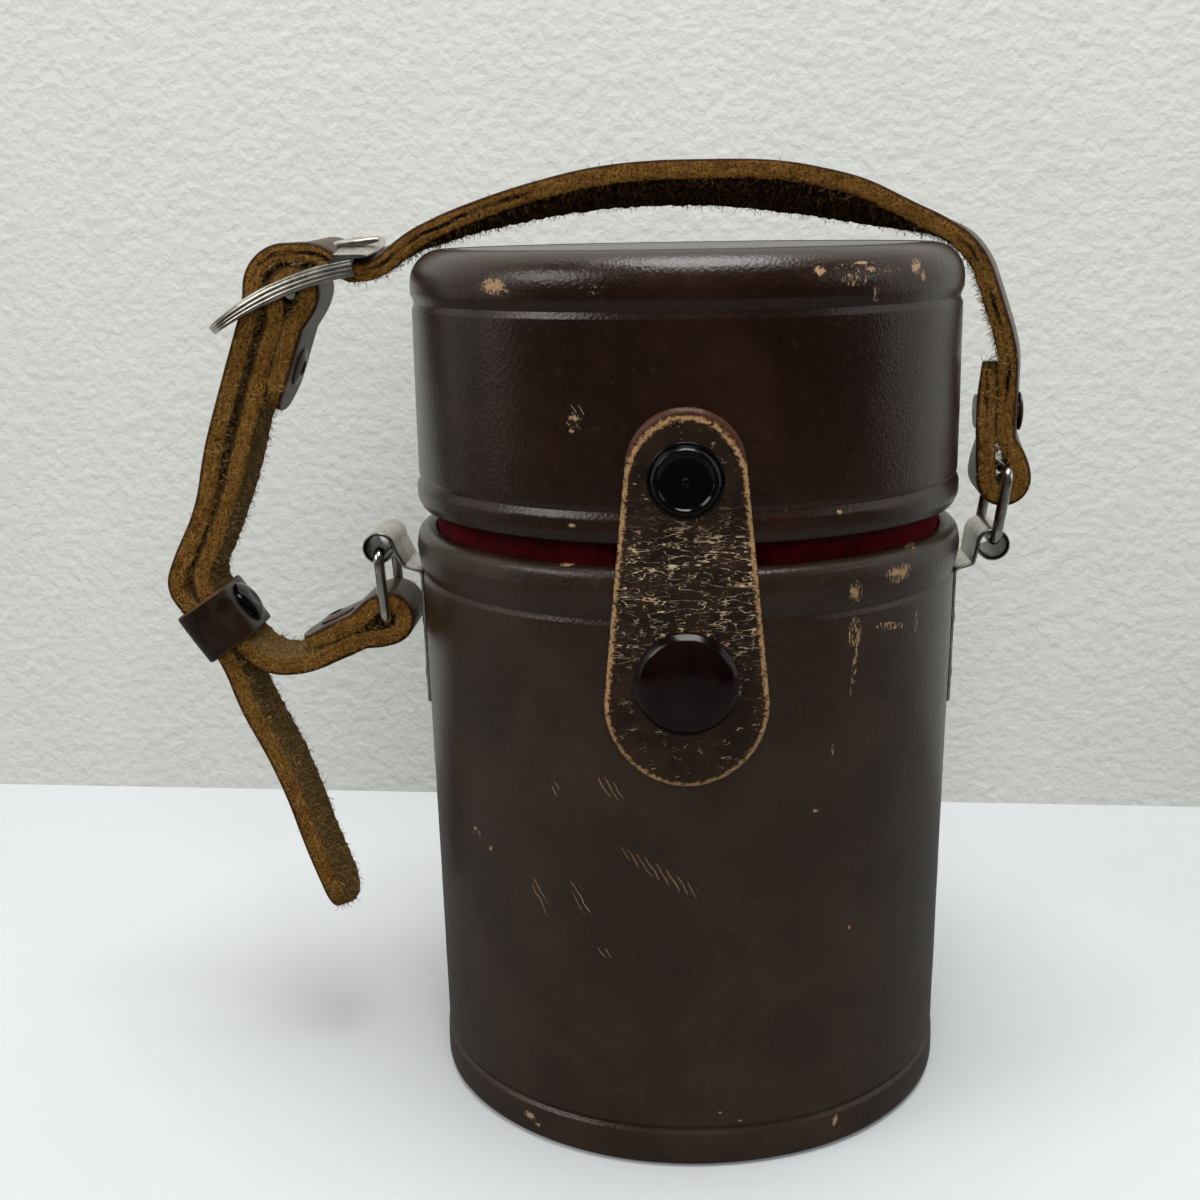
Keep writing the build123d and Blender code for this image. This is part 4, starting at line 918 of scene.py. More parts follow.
# %% [markdown]
# ## The hinge strip
# The photograph does not show the back. Cases of this kind hang the lid on a plain strip of
# the same leather, held by two rivets above and two below, so that is what is here.

# %% Cut the hinge strip
HINGE_Z, HINGE_HALF, HINGE_TALL, HINGE_CORNER = 95.95, 12.0, 24.0, 4.0


def hinge_half(z):
    """Half the strip's width at a height."""
    beyond = max(abs(z - HINGE_Z) - (HINGE_TALL - HINGE_CORNER), 0.0)
    return HINGE_HALF - HINGE_CORNER + math.sqrt(max(HINGE_CORNER ** 2 - beyond ** 2, 1e-4))


def hinge_edge(x, z):
    """Distance inwards from the strip's outline."""
    a = abs(x) - (HINGE_HALF - HINGE_CORNER)
    b = abs(z - HINGE_Z) - (HINGE_TALL - HINGE_CORNER)
    return HINGE_CORNER - math.hypot(max(a, 0), max(b, 0)) - min(max(a, b), 0)


def hinge_outer(x, z):
    """Outer face, pressed in a little round the four rivets."""
    dent = 0.0
    for rx in (-7.0, 7.0):
        for rz in (HINGE_Z - 15.0, HINGE_Z + 15.0):
            dent += 0.2 * math.exp(-((math.hypot(x - rx, z - rz) - 3.2) / 1.0) ** 2)
    return 46.5 - dent


strip = leather_patch(
    "hinge_strip", HINGE_Z - HINGE_TALL, HINGE_Z + HINGE_TALL, hinge_half, hinge_edge,
    lambda x, z: 44.72, hinge_outer, 1, hinge_skin)
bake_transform(strip)
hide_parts("hinge_strip_lid", "hinge_strip_body")
print("hinge strip", len(strip.data.polygons), "faces")

# %% [markdown]
# ## Sweeping a section
# Straps, rings, lugs, the keeper and the buckle are all cross-sections carried along a path. The
# sweep below takes the frames of the path, each a middle and two directions, and lays the
# section in each. Rings and the keeper share a rounded rectangle for their path.

# %% Sweep a section along frames
def swept(name, frames, sections, finish, sharp, closed=False, flat=None, carried=None):
    """Mesh through the frames, with edges kept above sharp degrees.

    sections gives the (a, b) points at each frame."""
    points = []
    for (middle, a_way, b_way), section in zip(frames, sections):
        points += [tuple(middle + a_way * a + b_way * b) for a, b in section]
    ring, rows = len(sections[0]), len(frames)
    faces = quads(rows, ring, closed) + ([] if closed else ends(rows, ring))
    return make_piece(name, points, faces, finish, flat, carried, sharp)


def circle(radius, count):
    """Round section."""
    turns = [2 * math.pi * n / count for n in range(count)]
    return [(radius * math.cos(turn), radius * math.sin(turn)) for turn in turns]


def round_rectangle(half_wide, half_tall, corner, bits, step, lift=0.0):
    """(point, way out) pairs round a rectangle with rounded corners, step millimetres apart."""
    fan = []
    for sx, sy, start in ((1, 1, 0), (-1, 1, 90), (-1, -1, 180), (1, -1, 270)):
        middle = Vector((sx * (half_wide - corner), lift + sy * (half_tall - corner)))
        for n in range(bits + 1):
            turn = math.radians(start + 90 / bits * n)
            way = Vector((math.cos(turn), math.sin(turn)))
            fan.append((middle + way * corner, way))
    path = []
    for k, (here, way) in enumerate(fan):
        there, next_way = fan[(k + 1) % len(fan)]
        steps = max(1, round((there - here).length / step))
        path += [(here + (there - here) * (n / steps), (way + next_way) / 2 if n else way)
                 for n in range(steps)]
    return path


# %% [markdown]
# ## The straps
# The long strap is riveted round the right ring, arches over the lid, goes through the buckle
# and the keeper and ends in a free tail. The short strap joins the left ring to the buckle.
# Both are the same hide, 12 mm wide and 3 mm thick. The routes repeat the CAD's corners.

# %% Lay out the strap's section and turns
STRAP_WIDE, STRAP_THICK = 12.0, 3.1
PLY_STEP = STRAP_THICK + 0.15
PLY_PITCH = STRAP_THICK + 0.3
RIGHT_LOOP, LEFT_LOOP, BAR_LOOP = 2.80, 2.95, 2.80
RIGHT_LEAN, LEFT_LEAN, REACH = 8.6, 184.2, 12.1
KEEPER_X, KEEPER_Z, KEEPER_LEAN = -78.9, 76.85, math.radians(34.5)
ACROSS = [-5.5, -4.6, -3.2, -1.7, -0.8, 0.0, 0.8, 1.7, 3.2, 4.6, 5.5]


def strap_section(half, thick, grain, seed):
    """(across, through) points of the hide: grain face, edge, flesh face, edge."""
    shrink = half / (STRAP_WIDE / 2)
    top, low = thick / 2, -thick / 2
    face = [(a * shrink, top + 0.02 * (1 - (a / 6) ** 2)) for a in ACROSS]
    right = [
        (half - 0.22, top - 0.06), (half - 0.03, top - 0.32), (half + 0.02, top * 0.5),
        (half, 0.12 * thick), (half, -0.12 * thick), (half + 0.02, low * 0.5),
        (half - 0.04, low + 0.25), (half - 0.20, low + 0.04),
    ]
    left = [(-a, b) for a, b in reversed(right)]
    back = [(a * shrink, low) for a in reversed(ACROSS)]
    loop = face + right + back + left
    depth = [min(max((top - b) / thick, 0.0), 1.0) for _, b in loop]
    rough = []
    for k, (a, b) in enumerate(loop):
        push = 0.20 * noise.noise(Vector((seed * 0.7, a * 0.9, b * 1.4)))
        push += 0.22 * noise.noise(Vector((seed * 2.3, a * 2.3, b * 2.9 + 40)))
        push *= min(depth[k] * 3.0, 1.0)
        wide = a + math.copysign(push, a) if abs(a) > half * 0.9 else a
        rough.append((wide, (b + (push if b < 0 else 0.0)) * grain))
    return rough, depth


def fold_point(bar, angle, along, over):
    """Point near a bar, along and to the left of a fold's direction."""
    c, s = math.cos(math.radians(angle)), math.sin(math.radians(angle))
    return (bar[0] + along * c - over * s, bar[1] + along * s + over * c)


def loop_corners(bar, angle, radius, first, second, open_for=1.2):
    """Corners of a strap's way in along one ply, round a bar and out along the other."""
    near, turn, closed = math.copysign(radius, first), radius - 0.02, open_for + 3.7
    spots = [
        (closed, first, 3.0), (open_for, near), (-radius, near, turn),
        (-radius, -near, turn), (open_for, -near), (closed, second, 3.0),
    ]
    return [(*fold_point(bar, angle, along, over), *round_by) for along, over, *round_by in spots]


def keeper_point(down, over):
    """Point measured from the keeper's middle, down along the straps and across them."""
    c, s = math.cos(KEEPER_LEAN), math.sin(KEEPER_LEAN)
    return (KEEPER_X + s * down + c * over, KEEPER_Z - c * down + s * over)


def ring_bar(out, side, lean):
    """Middle of a ring's far bar."""
    turn = math.radians(lean)
    return (side * (out + REACH * math.sin(turn)), TUBE_Z + REACH * math.cos(turn))


right_bar, left_bar = ring_bar(RIGHT_OUT, 1, RIGHT_LEAN), ring_bar(LEFT_OUT, -1, LEFT_LEAN)
right_loop = (right_bar[0] - 0.2, right_bar[1] - 1.4)
long_route = [fold_point(right_loop, 90, 18.2, 2.2)]
long_route += loop_corners(right_loop, 90, RIGHT_LOOP, 2.2, 2.2 - PLY_STEP, 2.5)
long_route += [
    fold_point(right_loop, 90, 19.4, 2.2 - PLY_STEP), (51.1, 124.1), (49.4, 129.0), (47.4, 134.6),
    (44.6, 138.2), (40.2, 140.5), (32.8, 142.7), (26.0, 144.9), (14.0, 147.1), (0.0, 147.8),
    (-14.0, 147.2), (-27.0, 144.6), (-36.4, 142.0), (-43.2, 139.3), (-48.2, 135.4), (-51.5, 134.5),
    (-54.6, 135.0), (-58.2, 137.9), (-68.7, 137.9, 5.8), (-69.2, 130.0), (-72.9, 119.4),
    (-77.4, 106.2), (-79.3, 96.6), (-83.8, 88.0), keeper_point(-9.2, -PLY_PITCH / 2),
    keeper_point(6.2, -PLY_PITCH / 2), (-74.4, 62.8), (-70.2, 54.4), (-67.2, 46.8),
    (-64.6, 37.8), (-61.8, 30.0), (-60.0, 25.4),
]
HALF_STEP = PLY_STEP / 2
short_route = [fold_point(left_bar, 204, 15.6, -HALF_STEP)]
short_route += loop_corners(left_bar, 204, LEFT_LOOP, -HALF_STEP, HALF_STEP, 1.6)
short_route += [
    fold_point(left_bar, 204, 16.2, HALF_STEP), (-69.6, 69.7), keeper_point(7.2, PLY_PITCH / 2),
    keeper_point(-7.6, PLY_PITCH / 2), (-78.4, 90.8), (-74.8, 99.4),
    fold_point(BUCKLE_BAR, 250.5, 18.0, -HALF_STEP),
]
short_route += loop_corners(BUCKLE_BAR, 250.5, BAR_LOOP, -HALF_STEP, HALF_STEP)
short_route += [fold_point(BUCKLE_BAR, 250.5, 19.4, HALF_STEP)]
print("ring bars", [round(v, 2) for v in right_bar + left_bar])


# %% [markdown]
# ## How the straps hang
# A strap is never quite square to its route. The arch stands with its near edge up, so some of
# its underside shows. Down the right side the far edge stands out, and the buckle has rolled a
# little about its length. A slant of the flat route gives all three: each point moves up or out
# in step with its distance from the middle plane.

# %% Slant the straps
ROLL = math.tan(math.radians(8.6))


def slant(x, z):
    """A strap's shift out and up for each millimetre towards its far edge, and its lift."""
    fall = 1.2 if x < 0 else 0.7
    arch = smooth((z - 132) / 3) * math.cos(math.pi / 2 * min(abs(x) / 48, 1.0)) ** fall
    up = -(0.33 + 0.12 * smooth(x / 20)) * arch * (1 - smooth((x - 26) / 20))
    rolled = ROLL * smooth((-x - 40) / 10) * smooth((x + 62) / 6) * smooth((z - 112) / 12)
    out = 0.23 * smooth((x - 28) / 18) * (0.2 + 0.8 * smooth((z - 100) / 9))
    return out, up + rolled, 6.0 * rolled


# %% [markdown]
# ## Sewing the routes into straps
# Each route is sampled every half millimetre. The ends are rounded by narrowing the section,
# and the hide is pared a little thinner where it ends in a fold. The prong has pulled its slot
# open, which the strap's own thickness hides, so the slot is not cut here.

# %% Make the two straps
TIP, PARED = 4.5, 6


def strap(name, route, grain, pared):
    """Strap along a route. grain is 1 for grain on the route's left and -1 on its right."""
    path = rounded(route, 0.55, 12.0)
    run = lengths(path)
    frames, sections, flat, depths = [], [], [], []
    for k, (point, ahead) in enumerate(zip(path, headings(path))):
        out, up, lift = slant(point.x, point.y)
        left = Vector((-ahead.y, 0, ahead.x))
        frames.append((Vector((point.x, 0, point.y + lift)), Vector((out, 1, up)), left))
        end = min(run[k], run[-1] - run[k])
        half = STRAP_WIDE / 2
        if end < TIP:
            half += math.sqrt(max(TIP ** 2 - (TIP - end) ** 2, 0.01)) - TIP
        thin = STRAP_THICK
        if (run[k] < PARED and pared[0]) or (run[-1] - run[k] < PARED and pared[1]):
            thin *= 0.72 + 0.28 * smooth(end / PARED)
        section, depth = strap_section(half, thin, grain, run[k])
        sections.append(section)
        depths += depth
        around = 0.0
        for n, (a, b) in enumerate(section):
            if n:
                around += math.hypot(a - section[n - 1][0], b - section[n - 1][1])
            flat.append((run[k], around))
    carried = {"depth": depths}
    piece = swept(name, frames, sections, strap_hide, 60, flat=flat, carried=carried)
    print(name, round(run[-1], 1), "mm long,", len(piece.data.polygons), "faces")
    return piece


long_strap = strap("long_strap_hide", long_route, -1, (True, False))
short_strap = strap("short_strap_hide", short_route, 1, (True, True))

# %% [markdown]
# ## Loose fibres
# Cut hide is fuzzy: short fibres stand off its edges and its flesh side. A node tree scatters
# points over the raw part of the strap, puts one bent fibre on each at a random tilt and size,
# and turns the lot into a plain mesh. The tree's inputs are the fibre's length and thickness,
# how many there are, and the seed.

# %% Grow fibres with geometry nodes
class Tree:
    """Geometry node tree under construction."""

    def __init__(self, name, inputs):
        self.tree = bpy.data.node_groups.new(name, "GeometryNodeTree")
        face = self.tree.interface
        face.new_socket("Geometry", in_out="INPUT", socket_type="NodeSocketGeometry")
        self.names = {}
        for label, kind in inputs.items():
            self.names[label] = face.new_socket(label, in_out="INPUT", socket_type=kind).identifier
        face.new_socket("Geometry", in_out="OUTPUT", socket_type="NodeSocketGeometry")
        self.entry = self.tree.nodes.new("NodeGroupInput")

    def add(self, kind, settings=None, out=0, **inputs):
        """Adds a node: settings first, then values or links by the sockets' names."""
        node = self.tree.nodes.new(kind)
        for key, value in (settings or {}).items():
            setattr(node, key, value)
        for words, value in inputs.items():
            label = words.replace("_", " ").lower()
            spots = [s for s in node.inputs if s.enabled and s.name.lower() == label]
            self.feed(spots[0], value)
        return node if out is None else [s for s in node.outputs if s.enabled][out]

    def feed(self, socket, value):
        if isinstance(value, bpy.types.NodeSocket):
            self.tree.links.new(value, socket)
        elif isinstance(value, str):
            self.tree.links.new(self.entry.outputs[value], socket)
        else:
            socket.default_value = value

    def times(self, first, second):
        """Product of two values or sockets."""
        node = self.tree.nodes.new("ShaderNodeMath")
        node.operation = "MULTIPLY"
        self.feed(node.inputs[0], first)
        self.feed(node.inputs[1], second)
        return node.outputs[0]

    def close(self, geometry):
        exit_node = self.tree.nodes.new("NodeGroupOutput")
        self.tree.links.new(geometry, exit_node.inputs[0])


def fuzz_tree():
    """Bent fibres on every raw face of a strap."""
    tree = Tree("raw_fuzz", {
        "Fibres": "NodeSocketFloat", "Length": "NodeSocketFloat",
        "Radius": "NodeSocketFloat", "Seed": "NodeSocketInt",
    })
    depth = tree.add("GeometryNodeInputNamedAttribute", {"data_type": "FLOAT"})
    depth.node.inputs["Name"].default_value = "depth"
    over = {"data_type": "FLOAT", "operation": "GREATER_THAN"}
    raw = tree.add("FunctionNodeCompare", over, A=depth, B=0.22)
    spread = tree.add(
        "GeometryNodeDistributePointsOnFaces", None, None, Mesh="Geometry", Selection=raw,
        Density="Fibres", Seed="Seed")
    middle = tree.add(
        "ShaderNodeCombineXYZ", Z=tree.times("Length", 0.6), X=tree.times("Length", 0.1))
    tip = tree.add(
        "ShaderNodeCombineXYZ", Z=tree.times("Length", 0.75), X=tree.times("Length", 0.65))
    stem = tree.add(
        "GeometryNodeCurveQuadraticBezier", Resolution=2, Start=(0, 0, 0), Middle=middle, End=tip)
    ring = tree.add("GeometryNodeCurvePrimitiveCircle", Resolution=3, Radius="Radius")
    hair = tree.add("GeometryNodeCurveToMesh", Curve=stem, Profile_Curve=ring, Fill_Caps=True)
    tilt = tree.add(
        "FunctionNodeRandomValue", {"data_type": "FLOAT_VECTOR"},
        Min=(-1.25, -1.25, 0.0), Max=(1.25, 1.25, 6.28), Seed="Seed")
    turned = tree.add("FunctionNodeEulerToRotation", Euler=tilt)
    laid = tree.add(
        "FunctionNodeRotateRotation", {"rotation_space": "LOCAL"},
        Rotation=spread.outputs["Rotation"], Rotate_By=turned)
    size = tree.add(
        "FunctionNodeRandomValue", {"data_type": "FLOAT"}, Min=0.35, Max=1.15, Seed="Seed")
    many = tree.add(
        "GeometryNodeInstanceOnPoints", Points=spread.outputs["Points"], Instance=hair,
        Rotation=laid, Scale=size)
    tree.close(tree.add("GeometryNodeRealizeInstances", Geometry=many))
    return tree


FIBRES = {"Fibres": 2.0e6, "Length": 1.15 * MM, "Radius": 0.042 * MM}
fuzz = fuzz_tree()


def grow_fuzz(name, hide, seed):
    """Plain mesh of the fibres on one strap."""
    host = bpy.data.objects.new(name + "_host", hide.data)
    bpy.context.collection.objects.link(host)
    growth = host.modifiers.new("fuzz", "NODES")
    growth.node_group = fuzz.tree
    for label, value in {**FIBRES, "Seed": seed}.items():
        growth[fuzz.names[label]] = value
    ready = host.evaluated_get(bpy.context.evaluated_depsgraph_get())
    mesh = bpy.data.meshes.new_from_object(ready)
    bpy.data.objects.remove(host)
    mesh.name = name
    mesh.materials.clear()
    mesh.materials.append(loose_fibres)
    mesh.polygons.foreach_set("material_index", [0] * len(mesh.polygons))
    piece = bpy.data.objects.new(name, mesh)
    bpy.context.collection.objects.link(piece)
    print(name, len(mesh.polygons), "faces")
    return piece


long_fuzz = grow_fuzz("long_strap_fibres", long_strap, 3)
short_fuzz = grow_fuzz("short_strap_fibres", short_strap, 8)
for piece in (long_strap, long_fuzz):
    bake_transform(piece)
for piece in (short_strap, short_fuzz):
    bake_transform(piece)
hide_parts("long_strap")
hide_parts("short_strap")

# %% [markdown]
# ## The keeper
# A short leather band holds the two straps together. It is a rounded rectangle of hide, closed
# by a small rivet on its overlap. It is swept the other way round: the section is the band's
# own thickness and length, and the path runs round the straps.

# %% Wrap the keeper
KEEPER_SPOT = Vector((KEEPER_X, 0, KEEPER_Z))
KEEPER_DOWN = Vector((math.sin(KEEPER_LEAN), 0, -math.cos(KEEPER_LEAN)))
KEEPER_OVER = Vector((math.cos(KEEPER_LEAN), 0, math.sin(KEEPER_LEAN)))


def keeper_band(length, wall):
    """Band round both straps, with rounded lips."""
    deep, wide = STRAP_THICK + PLY_PITCH + 0.5, STRAP_WIDE + 0.5
    half = length / 2
    lips = [
        (0.0, -half + 0.3), (0.12, -half + 0.06), (0.35, -half), (wall - 0.4, -half),
        (wall - 0.1, -half + 0.15), (wall, -half + 0.5), (wall + 0.03, -half / 2),
        (wall + 0.05, 0.0), (wall + 0.03, half / 2), (wall, half - 0.5),
        (wall - 0.1, half - 0.15), (wall - 0.4, half), (0.35, half), (0.12, half - 0.06),
        (0.0, half - 0.3),
    ]
    frames, sections, cut = [], [], []
    for spot, way in round_rectangle(deep / 2, wide / 2, 1.9, 6, 0.8):
        middle = KEEPER_SPOT + KEEPER_OVER * spot.x + Vector((0, spot.y, 0))
        outward = (KEEPER_OVER * way.x + Vector((0, way.y, 0))).normalized()
        frames.append((middle, outward, KEEPER_DOWN))
        bulge = 0.10 * noise.noise(middle * 0.5)
        sections.append([(a + (bulge if a > 0.6 else 0.0), b) for a, b in lips])
        cut += [1.0 if abs(b) > half - 0.2 else 0.0 for a, b in lips]
    return swept(
        "strap_keeper", frames, sections, keeper_skin, 60, closed=True, carried={"cut": cut})


def domed(name, middle, axis, profile, finish):
    """Cap of revolution about any axis. profile gives (radius, height) pairs, outwards."""
    a_way = axis.orthogonal().normalized()
    frames = [(middle + axis * height, a_way, axis.cross(a_way)) for radius, height in profile]
    sections = [circle(radius, 48) for radius, height in profile]
    return swept(name, frames, sections, finish, 40)


seat(keeper_band(9.3, 1.5), "case", "keeper_leather", "keeper")
keeper_top = KEEPER_SPOT + KEEPER_OVER * ((STRAP_THICK + PLY_PITCH) / 2 + 1.8)
stud_profile = [
    (2.2, -0.6), (3.55, 0.0), (3.75, 0.12), (3.75, 0.35), (3.55, 0.62), (3.1, 0.95), (2.5, 1.22),
    (1.8, 1.4), (1.3, 1.44), (1.1, 1.36), (0.6, 1.3), (0.1, 1.3),
]
stud = domed("keeper_stud", keeper_top, KEEPER_OVER, stud_profile, black_cap)
seat(stud, "case", "black_cap", "keeper_rivet")

# %% [markdown]
# ## Rings
# Each strap hangs on a ring of bent wire: a rectangle with rounded corners, whose near side
# turns in the rolled tube of the lug. The wire is round and even, so a circle is swept round a
# closed path.

# %% Bend the rings
def wire_ring(name, side, out, lean):
    """Closed wire ring, leaning out from the lug's tube."""
    half, slack, corner, wire = 7.2, 0.8, 1.6, 0.9
    turn = math.radians(lean)
    up = Vector((side * math.sin(turn), 0, math.cos(turn)))
    side_way = Vector((0, 1, 0)).cross(up).normalized()
    tube = Vector((side * out, 0, TUBE_Z))
    path = round_rectangle(half, (REACH - slack) / 2, corner, 8, 0.7, (slack + REACH) / 2)
    frames = []
    for k, (here, _) in enumerate(path):
        ahead = (path[(k + 1) % len(path)][0] - path[k - 1][0]).normalized()
        outward = Vector((0, ahead.y, 0)) + up * -ahead.x
        frames.append((tube + Vector((0, here.x, 0)) + up * here.y, outward, side_way))
    return swept(name, frames, [circle(wire, 16)] * len(frames), ring_nickel, 60, closed=True)


left_wire = wire_ring("left_wire_ring", -1, LEFT_OUT, LEFT_LEAN)
right_wire = wire_ring("right_wire_ring", 1, RIGHT_OUT, RIGHT_LEAN)
seat(left_wire, "left_ring", "ring_nickel", "left_ring")
seat(right_wire, "right_ring", "ring_nickel", "right_ring")

# %% [markdown]
# ## Lugs
# A lug is one strip of sheet metal: a plate riveted to the wall, a step out over the rim bead,
# and a roll that the ring turns in. It is drawn as the side view of the strip, swept across
# its width. The plate part is then bent to the round wall, which fades out towards the roll.

# %% Roll the lugs
def wall_radius(z):
    """Outer radius of the body's leather wall."""
    low_z, low_radius, high_z, high_radius = 6.2, 42.35, 86.7, 43.75
    return low_radius + (high_radius - low_radius) / (high_z - low_z) * (z - low_z)


def lug(name, side, out, finish):
    """Rolled sheet lug on one side, with its tube out from the case's axis."""
    sheet, tube_r, roll_steps, corner = 0.5, 2.65, 33, 2.5
    mid = sheet / 2 + 0.05
    roll = tube_r - sheet / 2
    side_view = rounded([
        (wall_radius(63.0) + mid, 63.0), (wall_radius(85.4) + mid, 85.8, 0.6),
        (46.55, 86.9, 0.6), (out - roll, TUBE_Z),
    ], 0.5, 12.0)
    for n in range(1, roll_steps + 1):
        turn = math.pi - math.radians(n * 10.2)
        side_view.append(Vector((out + roll * math.cos(turn), TUBE_Z + roll * math.sin(turn))))
    run = lengths(side_view)
    frames, sections = [], []
    for k, (spot, ahead) in enumerate(zip(side_view, headings(side_view))):
        normal = Vector((ahead.y, 0, -ahead.x))
        on_roll = k >= len(side_view) - roll_steps
        wrap = 0.0 if on_roll else 1 - smooth((spot.y - 84.9) / 2.4)
        frames.append((Vector((spot.x, 0, spot.y)), Vector((0, 1, 0)), normal))
        half = 6.0 + 0.5 * smooth((spot.y - 86.5) / 2.5)
        if run[k] < corner:
            half += math.sqrt(max(corner ** 2 - (corner - run[k]) ** 2, 0.01)) - corner
        section = []
        for a, b in sheet_section(half, sheet):
            drop = spot.x - math.sqrt(spot.x ** 2 - a * a)
            section.append((a, b - wrap * drop))
        sections.append(section)
    piece = swept(name, frames, sections, finish, 50)
    if side < 0:
        piece.data.transform(Matrix.Scale(-1, 4, (1, 0, 0)))
        piece.data.flip_normals()
    return piece


def sheet_section(half, sheet):
    """Sheet metal across its width, with softened edges."""
    top = [(half * n / 8, sheet / 2) for n in range(-7, 8)]
    edge = [(half - 0.10, sheet / 2 - 0.03), (half, sheet / 2 - 0.12), (half, -sheet / 2 + 0.12),
            (half - 0.10, -sheet / 2 + 0.03)]
    return top + edge + [(-a, -b) for a, b in top] + [(-a, -b) for a, b in edge]


seat(lug("left_lug_sheet", -1, LEFT_OUT, left_nickel), "case", "nickel", "left_lug")
seat(lug("right_lug_sheet", 1, RIGHT_OUT, right_nickel), "case", "nickel", "right_lug")

# %% [markdown]
# ## The buckle
# The buckle is the most worked piece of metal here. Two ridged rails follow one long curve and
# taper towards a bowed end, a thin leaf stands up at the other end for the prong to rest on, and
# a bar crosses the middle. The rails and the bowed end are one section carried round a plan
# outline, and the height of the section shrinks along it, so the ridges run together.

# %% Shape the buckle
RAIL_Y = 7.6
RIGHT, UP = Vector((1, 0, 0)), Vector((0, 0, 1))


def buckle_spot(right, y, up):
    """Point measured from the centre bar, on the buckle's own roll."""
    return Vector((BUCKLE_BAR[0] + right, y, BUCKLE_BAR[1] + up + ROLL * (y + RAIL_Y)))


def rail_up(right):
    """Height of the rails' curve over the centre bar."""
    return math.sqrt(50.98 ** 2 - (right - 17.488) ** 2) - 46.57


def rail_section(tall):
    """Ridged outer face, rounded top, plain inside. Points (outwards, up)."""
    half = tall / 2
    outer = []
    for n in range(21):
        b = -0.86 + 1.72 * n / 20
        outer.append((0.93 + 0.13 * math.cos(math.pi * 4 * b), b * half))
    top = [(0.80, 0.97 * half), (0.5, 1.06 * half), (0.1, 1.02 * half), (-0.3, 1.06 * half)]
    top.append((-0.75, 0.98 * half))
    inner = [(-0.95, 0.8 * half), (-1.0, 0.0), (-0.95, -0.8 * half)]
    low = [(-0.75, -0.97 * half), (0.0, -half), (0.75, -0.97 * half)]
    return outer + top + inner + low


def buckle_rails():
    """Both rails and the bowed end, open at the right."""
    plan = rounded([
        (10.3, -RAIL_Y), (-11.2, -RAIL_Y, 2.0), (-13.9, -2.6, 6.0), (-13.9, 2.6, 6.0),
        (-11.2, RAIL_Y, 2.0), (10.3, RAIL_Y),
    ], 0.6, 10.0)
    spots = [buckle_spot(p.x, p.y, rail_up(p.x)) for p in plan]
    frames, sections = [], []
    for flat_spot, spot, ahead in zip(plan, spots, headings(spots)):
        slope = rail_up(flat_spot.x + 0.5) - rail_up(flat_spot.x - 0.5)
        normal = Vector((-slope, -ROLL, 1)).normalized()
        frames.append((spot, normal.cross(ahead).normalized(), normal))
        sections.append(rail_section(1.65 + 1.05 * smooth((flat_spot.x + 13.5) / 11.0)))
    return swept("buckle_rails", frames, sections, nickel, 55)


def buckle_leaf():
    """Thin leaf that the prong rests on, with a bowed free edge."""
    frames, sections = [], []
    for n in range(25):
        y = -8.6 + 17.2 * n / 24
        far = 12.7 + 1.2 * math.cos(math.pi / 2 * y / 8.6)
        frames.append((buckle_spot(0, y, 0), RIGHT, UP))
        low = [(7.3, 5.45), (9.0, 5.35), (far - 1.5, 5.42), (far - 0.1, 5.55), (far, 5.75)]
        top = [(far - 0.1, 5.95), (far - 1.5, 6.05), (9.0, 6.0), (7.4, 6.05), (7.1, 5.85)]
        sections.append(low + top)
    return swept("buckle_leaf", frames, sections, nickel, 40)


def buckle_cheek(name, y):
    """Side piece that carries the leaf on a rail."""
    outline = [(5.9, 3.2), (6.6, 4.9), (7.4, 5.8), (9.8, 5.9), (10.3, 5.2), (10.35, 3.2)]
    frames = [(buckle_spot(0, y + dy, 0), RIGHT, UP) for dy in (-0.95, -0.8, 0.8, 0.95)]
    small = [(8.2 + (a - 8.2) * 0.97, 4.5 + (b - 4.5) * 0.95) for a, b in outline]
    return swept(name, frames, [small, outline, outline, small], nickel, 40)


def centre_bar():
    """Plain round bar between the rails."""
    start, end = buckle_spot(0, -7.3, -0.2), buckle_spot(0, 7.3, -0.2)
    way = (end - start).normalized()
    a_way = way.orthogonal().normalized()
    frames = [(spot, a_way, way.cross(a_way)) for spot in (start, (start + end) / 2, end)]
    return swept("buckle_bar", frames, [circle(0.8, 20)] * 3, nickel, 50)


def tongue():
    """The prong's bent tongue, narrower at its tip."""
    path = rounded([(1.35, 2.55), (5.9, 7.3, 3.0), (13.3, 8.1)], 0.5, 8.0)
    frames, sections = [], []
    for spot, ahead in zip(path, headings(path)):
        place = Vector((BUCKLE_BAR[0] + spot.x, 0, BUCKLE_BAR[1] + spot.y))
        frames.append((place, Vector((0, 1, ROLL)), Vector((-ahead.y, 0, ahead.x))))
        half = 1.25 - 0.35 * smooth((spot.x - 9) / 4)
        thick = 0.55 - 0.2 * smooth((spot.x - 11.5) / 2)
        sections.append([
            (half, 0.0), (half * 0.86, thick * 0.8), (half * 0.5, thick), (-half * 0.5, thick),
            (-half * 0.86, thick * 0.8), (-half, 0.0), (-half * 0.86, -thick * 0.8),
            (-half * 0.5, -thick), (half * 0.5, -thick), (half * 0.86, -thick * 0.8)])
    return swept("prong_tongue", frames, sections, nickel, 50)


def prong_eye():
    """The prong's eye, turned round the centre bar."""
    frames = []
    for n in range(32):
        turn = 2 * math.pi * n / 32
        way = Vector((math.cos(turn), 0, math.sin(turn)))
        middle = Vector((BUCKLE_BAR[0], 0, BUCKLE_BAR[1] + 0.9))
        frames.append((middle, Vector((0, 1, ROLL)), way))
    section = [
        (1.35, 1.7), (1.35, 2.15), (1.1, 2.3), (-1.1, 2.3), (-1.35, 2.15), (-1.35, 1.7),
        (0.0, 1.62),
    ]
    return swept("prong_eye", frames, [section] * 32, nickel, 50, closed=True)


